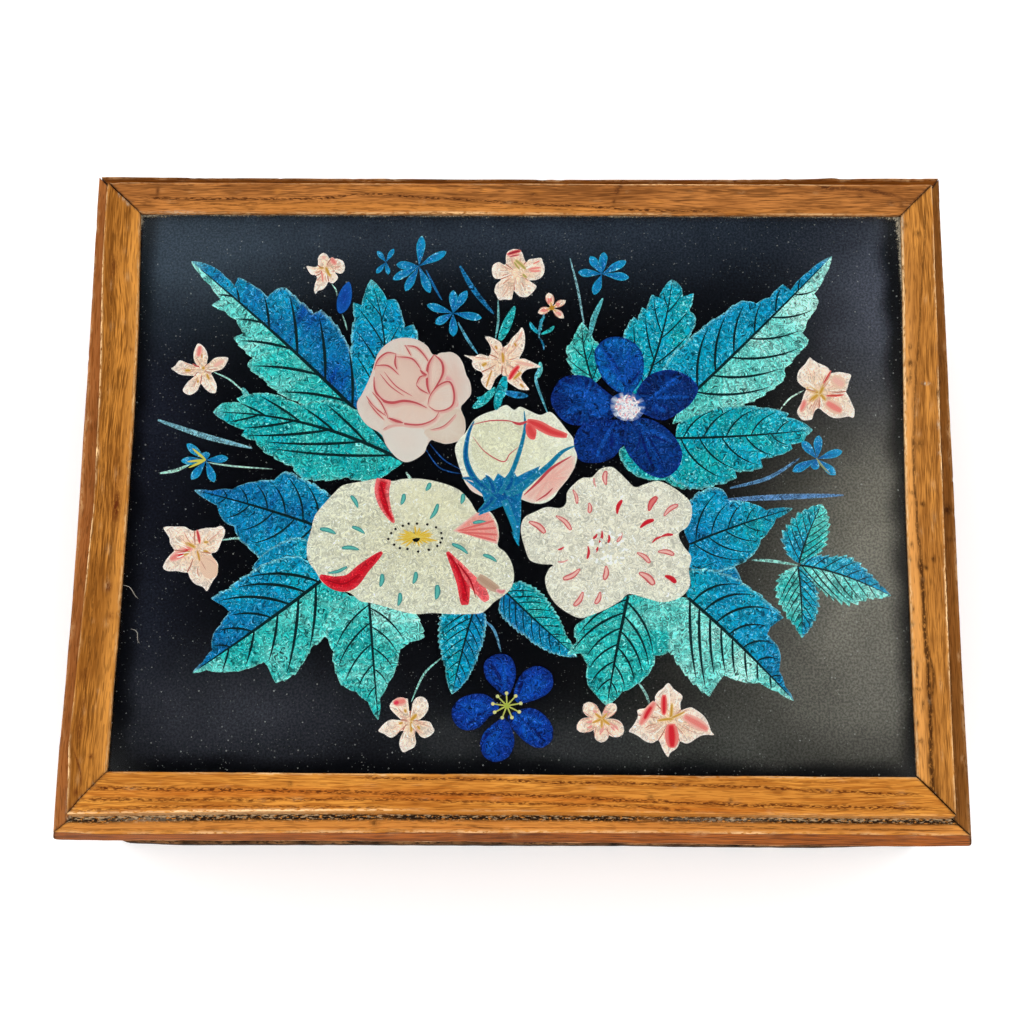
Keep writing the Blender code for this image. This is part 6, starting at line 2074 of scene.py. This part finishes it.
def paintRightBlossom():
    pearl, cream = (226, 219, 202), (228, 222, 206)
    centre = (30.7, -19.1)
    outline = [
        28.8, 6.8, 32.5, 7.6, 35.2, 5.8, 37.9, 3, 40.7, 0.5, 44.1, 1.6, 48.2, 2.7, 52.2, 1.3, 56.3, -1.5,
        59.3, -4.6, 59.9, -8.8, 58.5, -13, 55.4, -15.8, 56.7, -19.7, 59.4, -23.8, 58.6, -28.3, 58.9, -33.5,
        55.8, -37.6, 49.8, -39.4, 43.8, -38, 38.4, -36.7, 35.4, -39.1, 30.7, -41.9, 26, -43.9, 21.9, -45,
        17.9, -43.3, 13.9, -40.3, 11.2, -36.2, 10.2, -31.7, 11.5, -28.2, 12.8, -26.8, 8.8, -26.5, 5.1,
        -25.2, 3.3, -21, 1.9, -15.1, 2.9, -10.6, 6.6, -8.4, 10.7, -6.7, 15.1, -7, 17.2, -5.2, 17.5, -1.7,
        19.5, 1.1, 22.6, 3.6, 26, 4
    ]
    addPatch("blooms", centre, outline, 8, pearl, cream, 1.0, 0.25, None, 41)
    paintDots((31.4, -20.5), 7, 40, 1.6, [(250, 250, 248), (214, 212, 204)], 42)
    loop, rim, deep = (240, 186, 178), (204, 50, 62), (206, 22, 40)
    for *ends, width, core in (
        (4.6, -11.9, 10.1, -15.8, 2.1, loop), (13.8, -9.8, 18.9, -14.7, 1.7, loop),
        (19.5, -0.6, 20.9, -5.5, 1.2, loop), (25.0, -5.2, 25.0, -8.7, 1.6, loop),
        (30.8, 1.2, 30.8, 6.1, 1.8, loop), (27.4, 0.5, 26.7, 3.6, 0.6, loop),
        (34.5, -9.0, 36.2, -4.1, 1.4, deep), (45.3, -7.9, 48.1, -2.9, 2.1, (226, 120, 118)),
        (50.4, -9.6, 55.2, -5.7, 1.7, loop), (42.3, -13.8, 47.0, -11.0, 1.5, deep),
        (46.3, -19.0, 49.3, -16.9, 0.8, rim), (49.3, -16.9, 53.4, -16.2, 1.0, rim),
        (48.3, -22.1, 53.7, -23.1, 1.8, loop), (41.2, -22.5, 45.5, -26.0, 1.7, loop),
        (41.8, -29.4, 46.8, -33.5, 2.5, loop), (50.5, -30.4, 54.2, -32.8, 1.8, deep),
        (30.7, -27.1, 30.0, -31.9, 1.9, loop), (24.6, -20.2, 24.3, -24.7, 0.9, rim),
        (21.9, -28.2, 16.2, -31.7, 1.9, loop), (22.9, -36.1, 19.9, -40.9, 1.8, loop),
        (28.7, -36.1, 27.0, -40.2, 1.7, loop), (16.5, -20.6, 14.5, -21.6, 0.7, rim),
        (27.7, -16.0, 26.3, -17.7, 0.9, rim), (29.4, -14.9, 28.4, -19.1, 0.9, rim),
        (31.7, -16.3, 31.4, -19.1, 0.9, rim), (36.1, -15.6, 34.4, -18.7, 1.1, loop),
        (28.0, -20.5, 26.7, -22.6, 0.9, rim), (17.9, -25.1, 14.5, -25.8, 0.5, loop)
    ):
        addStroke(leaning(ends, 0.1), width, core, rim, (0.3, 0.45), 0.62)


def paintRose():
    blush, white, deep = (229, 199, 185), (227, 210, 201), (225, 189, 176)
    body = [
        -50.1, 41.3, -48.2, 47.9, -44.8, 51.9, -40.7, 53.7, -35.4, 53.4, -31.2, 50.9, -28.7, 47.6, -23.2,
        48.7, -19.7, 46.5, -18.2, 41.8, -16.1, 37.8, -15.7, 33.5, -17.4, 30.9, -19.1, 28.4, -17.6, 24.1,
        -17.6, 19.8, -19.9, 16.6, -24.4, 15.5, -28.8, 16.9, -30.5, 14.7, -31.5, 12.2, -34.9, 9.7, -38.3, 9,
        -41.8, 11.5, -44.6, 15, -46.4, 18.9, -51, 21.8, -53.8, 25.4, -55, 29.7, -53.3, 33.3, -51.7, 36.9
    ]
    addPatch("blooms", (-36.7, 31.2), body, 9, blush, white, 0.05, 0.3, (225, 204, 195), 71)
    for centre, outline, inner, outer, seed in (
        (
            (-38.5, 16.8),
            [-45.4, 19.6, -42, 22.5, -36.5, 22.6, -31, 19.7, -30.8, 14, -34.9, 9.7, -39, 9.3, -43.2, 13.2],
            white, (227, 216, 208), 72
        ),
        (
            (-24.1, 21.2),
            [
                -31.6, 19.7, -27.6, 22.6, -23.5, 26.9, -19.4, 27.7, -17.6, 22.7, -18.6, 17.6, -24, 15.8,
                -28.8, 16.9
            ],
            (225, 208, 195), (220, 197, 181), 73
        ),
        (
            (-21.3, 39.2),
            [
                -27.7, 47.2, -23.2, 48.3, -19.3, 45.8, -17.5, 40.7, -16.1, 35.6, -18.1, 30.6, -20.8, 29.1,
                -22.3, 35.6, -25.1, 38.5
            ],
            (227, 195, 183), white, 74
        ),
        (
            (-51.2, 29.3),
            [-49.3, 36.2, -52.6, 33.3, -54.6, 28.9, -51.7, 23.9, -46.1, 21.1, -46.2, 26.1, -48.4, 31.1],
            (223, 201, 191), white, 75
        ),
        (
            (-39.7, 40.2),
            [
                -48.8, 43.5, -46.1, 47.1, -41.9, 47.9, -36.3, 46.4, -32.8, 42.1, -31.2, 34.8, -31.9, 30.5,
                -38.8, 31.2, -45, 31.2, -48.6, 36.2
            ],
            (229, 197, 183), deep, 76
        ),
        (
            (-29.3, 40.3),
            [
                -28.7, 47.6, -26.6, 45.8, -25.5, 42.1, -26.5, 37.8, -28.5, 34.9, -29.8, 33.4, -30.9, 37,
                -30.7, 42.8
            ],
            (231, 204, 191), deep, 77
        )
    ):
        addPatch("blooms", centre, outline, 9.4 + (seed - 70) * 0.05, inner, outer, 0.05, 0.3, None, seed)
    line, soft = (197, 80, 86), (222, 168, 159)
    for points, width in (
        ([-49.3, 39.5, -48.9, 34.8, -46.4, 31.2, -42.9, 30.1, -38.8, 30.8, -34.6, 30.1, -30.8, 28.3], 1.0),
        ([-49.4, 42, -48.1, 45.7, -45.1, 48.2, -41.9, 47.9], 0.6),
        ([-49.1, 43.5, -44.6, 43.5, -40.7, 40.2], 0.55), ([-41.9, 47.9, -42.2, 44.6, -41.4, 42.1], 0.6),
        ([-41.9, 46.8, -36.3, 46.1, -33.1, 42.1], 0.55),
        ([-39.2, 50.8, -35.4, 50.5, -32.5, 47.9, -29.7, 43.6], 0.55), ([-38.9, 51.2, -36.7, 47.2], 0.4),
        ([-28.7, 47.6, -30.7, 43.6, -30.9, 37, -29.8, 33], 0.9),
        ([-28.7, 47.6, -25.9, 44.7, -25.8, 39.9, -29.8, 32.7], 0.8),
        ([-33.5, 42.1, -32.1, 40.6, -31, 40.3], 0.9), ([-34.7, 36.6, -33.4, 39.5, -31, 39.9], 0.5),
        ([-34.7, 36.6, -33, 34.8, -30.2, 33.4], 0.5),
        (
            [
                -30.5, 29.4, -29.8, 32.7, -27.1, 36.3, -23.3, 37.8, -21.6, 34.2, -21.8, 29.8, -24.2, 27.7,
                -27.7, 27.3, -30.4, 29.1
            ],
            0.65
        ),
        ([-46, 30.1, -44.9, 25.8, -41.4, 23.3, -33.8, 22.2, -28.6, 24, -26.6, 26.9], 0.6),
        ([-44.1, 24.7, -41.4, 23.6, -38.9, 22.9], 1.0), ([-51.9, 32.6, -49.1, 28.6, -44.8, 25.4], 0.5),
        ([-49.9, 34, -46.7, 30.1, -44.2, 25], 0.45), ([-51.2, 30.4, -48.3, 26.8, -45.5, 24], 0.4),
        ([-45.8, 20.4, -42.7, 22.2, -38.6, 22.2], 0.4), ([-47.3, 40.6, -43.7, 36.2, -38.8, 32.6], 0.35),
        ([-45.9, 41.3, -41.7, 36.2, -36, 32.6], 0.35), ([-29.6, 20.4, -24.8, 21.9, -20.7, 26.2], 0.35)
    ):
        points = asPoints(points)
        addStroke(points + (0.35, -0.35), width * 3.0, soft, (227, 191, 180), (0.2, 0.2), 0.5)
        addStroke(points, width, line, None, (0.25, 0.15), 0.5)
    addStroke(
        [-26.1, 39.6, -23.7, 38.9, -21.3, 36.3], 2.2, (225, 157, 157), (227, 181, 176), (0.3, 0.3), 0.5
    )
    addStroke(
        [-21.9, 34.2, -21.2, 31.3, -20.4, 28.7], 2.0, (225, 153, 153), (227, 187, 180), (0.3, 0.4), 0.6
    )


def paintBud():
    cream, pale = (228, 224, 196), (234, 232, 214)
    body = [
        -14.5, 24.1, -11.1, 26.3, -7.3, 27.7, -3.6, 29.5, -0.8, 27.8, 1.3, 28.9, 4.7, 27.4, 8.2, 26, 11.6,
        27.1, 14.4, 24.6, 17.1, 21, 19.5, 17.8, 19.9, 14.6, 20.9, 11.4, 20.2, 7.9, 18.2, 4, 15.1, 0.1, 13.1,
        -3.1, 9.7, -5.3, 5.6, -5.3, 1.5, -3.9, -2.6, -3.2, -7, -3.6, -10.7, -3.3, -14.2, -1.5, -16.9, 1.3,
        -18.7, 5.5, -20.1, 9.8, -20.9, 13.7, -19.9, 16.6, -17.2, 19.8
    ]
    addPatch("blooms", (-1.0, 11.7), body, 10, cream, pale, 0.55, 0.25, (236, 234, 220), 81)
    addPatch(
        "blooms", (-6.2, 14.8),
        [
            -14.5, 22.7, -9, 23.8, -3.5, 23.8, 1.3, 22.7, 2.7, 17, 0.7, 10.6, -2.7, 5.6, -7.4, 4.2, -12.2,
            7, -15.1, 12.7
        ],
        10.2, (230, 226, 198), (222, 218, 190), 0.6, 0.2, None, 82
    )
    addPatch(
        "blooms", (11.7, 3.6),
        [
            1.5, -3.5, 6.9, 2.1, 12.4, 7.1, 17.1, 10.3, 20.2, 11.4, 20.2, 7.5, 17.8, 3.2, 14.4, -1, 10.4,
            -4.2, 5.6, -5.3
        ],
        10.4, (240, 176, 164), (240, 200, 188), 0.15, 0.4, (238, 214, 202), 83, True
    )
    addPatch(
        "blooms", (-13.5, 0.6), [-17.7, 4.1, -14.2, 2.7, -10.1, -0.8, -8, -2.9, -12.1, -2.6, -15.6, -0.5],
        10.4, (240, 206, 196), (236, 214, 204), 0.1, 0.3, None, 84
    )
    line = (198, 70, 78)
    for points, width in (
        ([-15.2, 22.3, -9, 23.8, -2.8, 23.8, 1.3, 22.7], 0.45),
        ([-14.8, 18, -10.6, 12.7, -4.4, 9.2, -2, 12, 1, 14.5], 0.4),
        ([2.9, -2.5, 7.6, 2.1, 12.4, 7.1, 19.2, 11.4], 1.0), ([7, -4.6, 10.4, -2.4, 12.7, 0], 0.6),
        ([-1.4, 23.4, 1.3, 22.7, 4.1, 23.8], 1.1)
    ):
        addStroke(points, width, line, None, (0.25, 0.15), 0.5)
    addStroke(
        [3.7, 23.8, 7.5, 22.4, 12.3, 19.9, 17.5, 18.5], 3.4, (222, 62, 66), (234, 110, 106), (0.4, 0.4),
        0.45
    )
    addStroke([4.1, 22.8, 5.5, 19.2, 6.8, 18.5], 3.8, (224, 70, 72), (232, 100, 98), (0.4, 0.6), 0.5)
    deep, teal, edge = (0, 80, 146), (4, 112, 156), (30, 132, 160)
    calyx = [
        -17.7, 3.1, -13.2, 1.3, -10.5, 3.8, -7.7, 2.1, -6.1, 5.2, -3.7, 3.5, -1.3, 7, 0.4, 3.9, 3.5, 5.6,
        8.3, 7.8, 6.2, 2.1, 2.5, -1.4, 1.9, -4.2, 1.9, -9.2, 1.3, -19.3, -1.1, -11.6, -3.6, -6, -7.6, -7.8,
        -12.7, -9.9, -10.4, -5.4, -11.4, -2.2
    ]
    addPatch("blooms", (-4.3, -2.2), calyx, 10.7, deep, (4, 116, 168), 0.9, 0.5, (20, 130, 170), 85, True)
    for points, width, core in (
        ([-8.7, -1.5, -14.2, 3.4, -17.1, 10.5, -16.5, 18.4, -14.5, 23.7], 2.6, deep),
        ([-5.3, -2.2, -1.6, 4.9, 1.4, 13.5, 3, 21.3, 2.7, 27.4], 2.0, teal),
        ([-3.3, -2.2, 4.2, 2.1, 11, 7.8, 15.8, 12.8, 20.2, 15], 2.5, teal),
        ([-7.4, -2.2, -8.1, 1.3, -10.2, 4.5], 3.0, deep), ([-3.3, -1.5, -1.6, 2.1, -1.3, 5.6], 3.4, deep),
        ([-2.6, -2.2, 2.8, 0.7, 7.6, 5.3], 3.2, teal), ([-8.7, -1.5, -13.6, 2.7, -18.3, 3.4], 2.2, deep),
        ([-7.3, -2.9, -10, -6.4, -12.7, -8.5], 3.2, deep),
        ([-3.9, -4.3, -1.1, -11.3, 1, -19.6], 2.8, (10, 132, 180))
    ):
        addStroke(points, width * 0.85, core, edge, (0.95, 0.12), 0.2, "blooms", 10.8, 0.6)


def makePaintMaterial(name, shine, roughness, contrast, glints, tint):
    # the painted colour, with painted light and shade from facet to facet and painted glints of a paler tint
    # where it is foil
    material, tree, shader = newMaterial(name, roughness, shine)
    shader["Specular IOR Level"].default_value = 0.08
    crumple = useGroup(tree, foilGroup, Vector=inMillimetres(tree))
    foil = field(tree, "foil")
    spread = times(tree, calc(tree, "SUBTRACT", crumple["Facets"], 0.5), contrast)
    paint = addNode(tree, "ShaderNodeVertexColor", layer_name="paint").outputs["Color"]
    shaded = brightened(tree, paint, calc(tree, "ADD", times(tree, spread, foil), 1.0))
    glint = times(tree, times(tree, crumple["Glints"], foil), glints, True)
    bright = vectorCalc(tree, "MINIMUM", brightened(tree, paint, 2.6), (1, 1, 1))
    green = addNode(tree, "ShaderNodeSeparateColor", {0: paint}).outputs[1]
    bright = mixColour(tree, mapRange(tree, green, 0.02, 0.4, 0.04, 0.5), bright, tint)
    colour = mixColour(tree, glint, shaded, bright)
    feed(tree, shader["Base Color"], colour)
    # the picture glows a little in its own colour: painted light
    feed(tree, shader["Emission Color"], colour)
    shader["Emission Strength"].default_value = pictureLook["glow"]
    relief = {"Strength": 0.5, "Distance": 0.1 * mm, "Height": times(tree, crumple["Height"], foil)}
    feed(tree, shader["Normal"], addNode(tree, "ShaderNodeBump", relief).outputs[0])
    return material


def makeGround():
    # the black ground is one thin sheet as large as the pane; its painted reflection and haze are soft
    # patches added up over black
    low, high = boxOf("foil_sheet")
    counts = [round(size / pictureLook["groundCell"]) for size in (high - low)[:2]]
    x, y = np.meshgrid(
        *(np.linspace(low[axis], high[axis], counts[axis]) for axis in (0, 1)), indexing="ij"
    )
    height = paneBottom - pictureLook["groundDrop"] + 0.02 * ripple(x, y, 9, 60.0, 60.0)
    total, weight = np.zeros((*x.shape, 3)), np.zeros(x.shape)
    for centreX, centreY, wideX, wideY, colour in groundReflectionAndHaze:
        near = bell((x - centreX) / wideX, (y - centreY) / wideY)
        total, weight = total + near[..., None] * screenTones(colour), weight + near
    halfX, halfY = sightHalf
    # near the side and front sight edges the painted reflection fades to black: painted shade from the frame
    rim = np.minimum(np.minimum(halfX - np.abs(x) + 0.5, y + halfY), 40)
    rim = rim + 1.2 * ripple(x, y, 12, 30.0, 30.0)
    strength = np.clip(weight, 0, 1) * (0.06 + 0.94 * smoothStep(1.0, 8.0, rim))
    colours = blend(screenTones(groundLook["black"]), total / np.maximum(weight, 1e-6)[..., None], strength)
    points = np.stack([x, y, height], axis=-1).reshape(-1, 3)
    material, tree, shader = newMaterial("black_ground", 0.6)
    shader["Specular IOR Level"].default_value = 0.03
    source = inMillimetres(tree)
    colour = addNode(tree, "ShaderNodeVertexColor", layer_name="paint").outputs["Color"]
    clouds = {"Value": noise(tree, source, 0.06, 2.0, 0.55, True), "To Min": 0.7, "To Max": 1.3}
    cloud = addNode(tree, "ShaderNodeMapRange", clouds).outputs[0]
    film = mapRange(tree, noise(tree, source, 1.3, 1.0, 0.7, True), 0.35, 0.65, 0.75, 1.35)
    colour = brightened(tree, colour, times(tree, cloud, film))
    for scale, share, radius, strength in groundLook["specks"]:
        flat = scaled(tree, source, (scale,) * 3)
        specks = useGroup(tree, speckGroup, Vector=flat, Share=share, Radius=radius)["Specks"]
        colour = mixColour(tree, times(tree, specks, strength), colour, tone(groundLook["dust"]))
    feed(tree, shader["Base Color"], colour)
    quads = gridFaces(*x.shape)[:, ::-1]
    ground = makePiece("painted_ground", points * mm, quads, material, colour=withAlpha(colours))
    thick = ground.modifiers.new("thickness", "SOLIDIFY")
    thick.thickness = pictureLook["groundThickness"] * mm
    thick.offset = -1
    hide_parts("foil_sheet")


makeGround()
for leaf in leaves:
    makeLeaf(dict(leafLook, **leaf))
paintSmallFlowers()
paintLeftBlossom()
paintRightBlossom()
paintBlueFlowers()
paintRose()
paintBud()
joinHalves(
    "leaves", "foil_leaves", makePaintMaterial("leaf_foil", 0.1, 0.42, 1.9, 1.3, (0.7, 1.0, 0.96, 1))
)
joinHalves(
    "blooms", "foil_blossoms", makePaintMaterial("blossom_foil", 0.05, 0.45, 0.75, 1.3, (1, 1, 1, 1))
)
joinSheets(
    sheets["strokes"], "painted_lines", makePaintMaterial("line_paint", 0.0, 0.6, 0.0, 0.0, (1, 1, 1, 1))
)


# Stage: a pale floor, an even surround, and the camera where the photograph was taken

skyLook = {
    # the surround's light, the darker ceiling that the pane mirrors, and soft lobes on that ceiling given
    # as (x, y, half width, half depth, colour) in picture millimetres where the pane mirrors them
    "surround": (1.46, 1.46, 1.46), "overhead": (0.012, 0.014, 0.02), "reach": (150, 205),
    "lobes": [(-120, 92, 46, 30, (0.1, 0.14, 0.18)), (130, -20, 34, 60, (0.3, 0.28, 0.25))],
}
floorLook = {"half": 2.5, "dark": (0.95, 0.95, 0.95, 1), "light": (0.97, 0.97, 0.97, 1), "glow": 0.14}
cameraLook = {
    # millimetres, degrees, and the focal length in pixels of the photograph's width
    "place": (8.61, -174.67, 741.21), "turn": (14.2416, 0.8292, 0.3022), "pixels": 1024, "focal": 1988.4,
    "sensor": 36,
}


def makeWorld():
    world = bpy.data.worlds.new("soft_surround")
    bpy.context.scene.world = world
    world.use_nodes = True
    tree = world.node_tree
    ray = tree.nodes.new("ShaderNodeTexCoord").outputs["Generated"]
    rise = calc(tree, "MAXIMUM", addNode(tree, "ShaderNodeSeparateXYZ", {0: ray}).outputs["Z"], 0.02)
    eyeX, eyeY, eyeZ = cameraLook["place"]
    # where the ray from the camera's mirror image meets the pane's plane, in picture millimetres
    place = brightened(tree, ray, calc(tree, "DIVIDE", eyeZ - paneTop, rise))
    place = vectorCalc(tree, "ADD", place, (eyeX, eyeY, 0))

    def lobe(centreX, centreY, halfX, halfY):
        # falls from 1 at the centre as a bell of squared distance
        gap = vectorCalc(tree, "SUBTRACT", place, (centreX, centreY, 0))
        gap = vectorCalc(tree, "MULTIPLY", gap, (1 / halfX, 1 / halfY, 0))
        return calc(tree, "POWER", math.exp(-1), vectorCalc(tree, "DOT_PRODUCT", gap, gap, "Value"))

    colour = (*skyLook["overhead"], 1)
    for *shape, added in skyLook["lobes"]:
        colour = mixColour(tree, lobe(*shape), colour, (*added, 1), "ADD")
    flat = vectorCalc(tree, "MULTIPLY", place, (1, 1, 0))
    far = addNode(tree, "ShaderNodeVectorMath", {0: flat}, operation="LENGTH").outputs["Value"]
    colour = mixColour(tree, mapRange(tree, far, *skyLook["reach"]), colour, (*skyLook["surround"], 1))
    feed(tree, tree.nodes["Background"].inputs["Color"], colour)


def makeFloor():
    half = floorLook["half"]
    mesh = bpy.data.meshes.new("pale_floor")
    mesh.from_pydata(
        [(-half, -half, 0), (half, -half, 0), (half, half, 0), (-half, half, 0)], [], [(0, 1, 2, 3)]
    )
    floor = bpy.data.objects.new("pale_floor", mesh)
    bpy.context.scene.collection.objects.link(floor)
    material, tree, shader = newMaterial("pale_paper", 0.9)
    grain = noise(tree, tree.nodes.new("ShaderNodeTexCoord").outputs["Object"], 3.0)
    feed(tree, shader["Base Color"], mixColour(tree, grain, floorLook["dark"], floorLook["light"]))
    shader["Emission Color"].default_value = (1, 1, 1, 1)
    shader["Emission Strength"].default_value = floorLook["glow"]
    mesh.materials.append(material)


def makeCamera():
    camera = bpy.data.objects.new("camera", bpy.data.cameras.new("camera"))
    bpy.context.scene.collection.objects.link(camera)
    camera.location = np.array(cameraLook["place"]) * mm
    camera.rotation_mode = "ZYX"
    camera.rotation_euler = [math.radians(angle) for angle in cameraLook["turn"]]
    camera.data.sensor_width = cameraLook["sensor"]
    camera.data.lens = cameraLook["focal"] / cameraLook["pixels"] * cameraLook["sensor"]
    camera.data.clip_start = 0.01
    bpy.context.scene.camera = camera


makeWorld()
makeFloor()
makeCamera()
bpy.context.scene.view_settings.view_transform = "Standard"
print("stage ready")
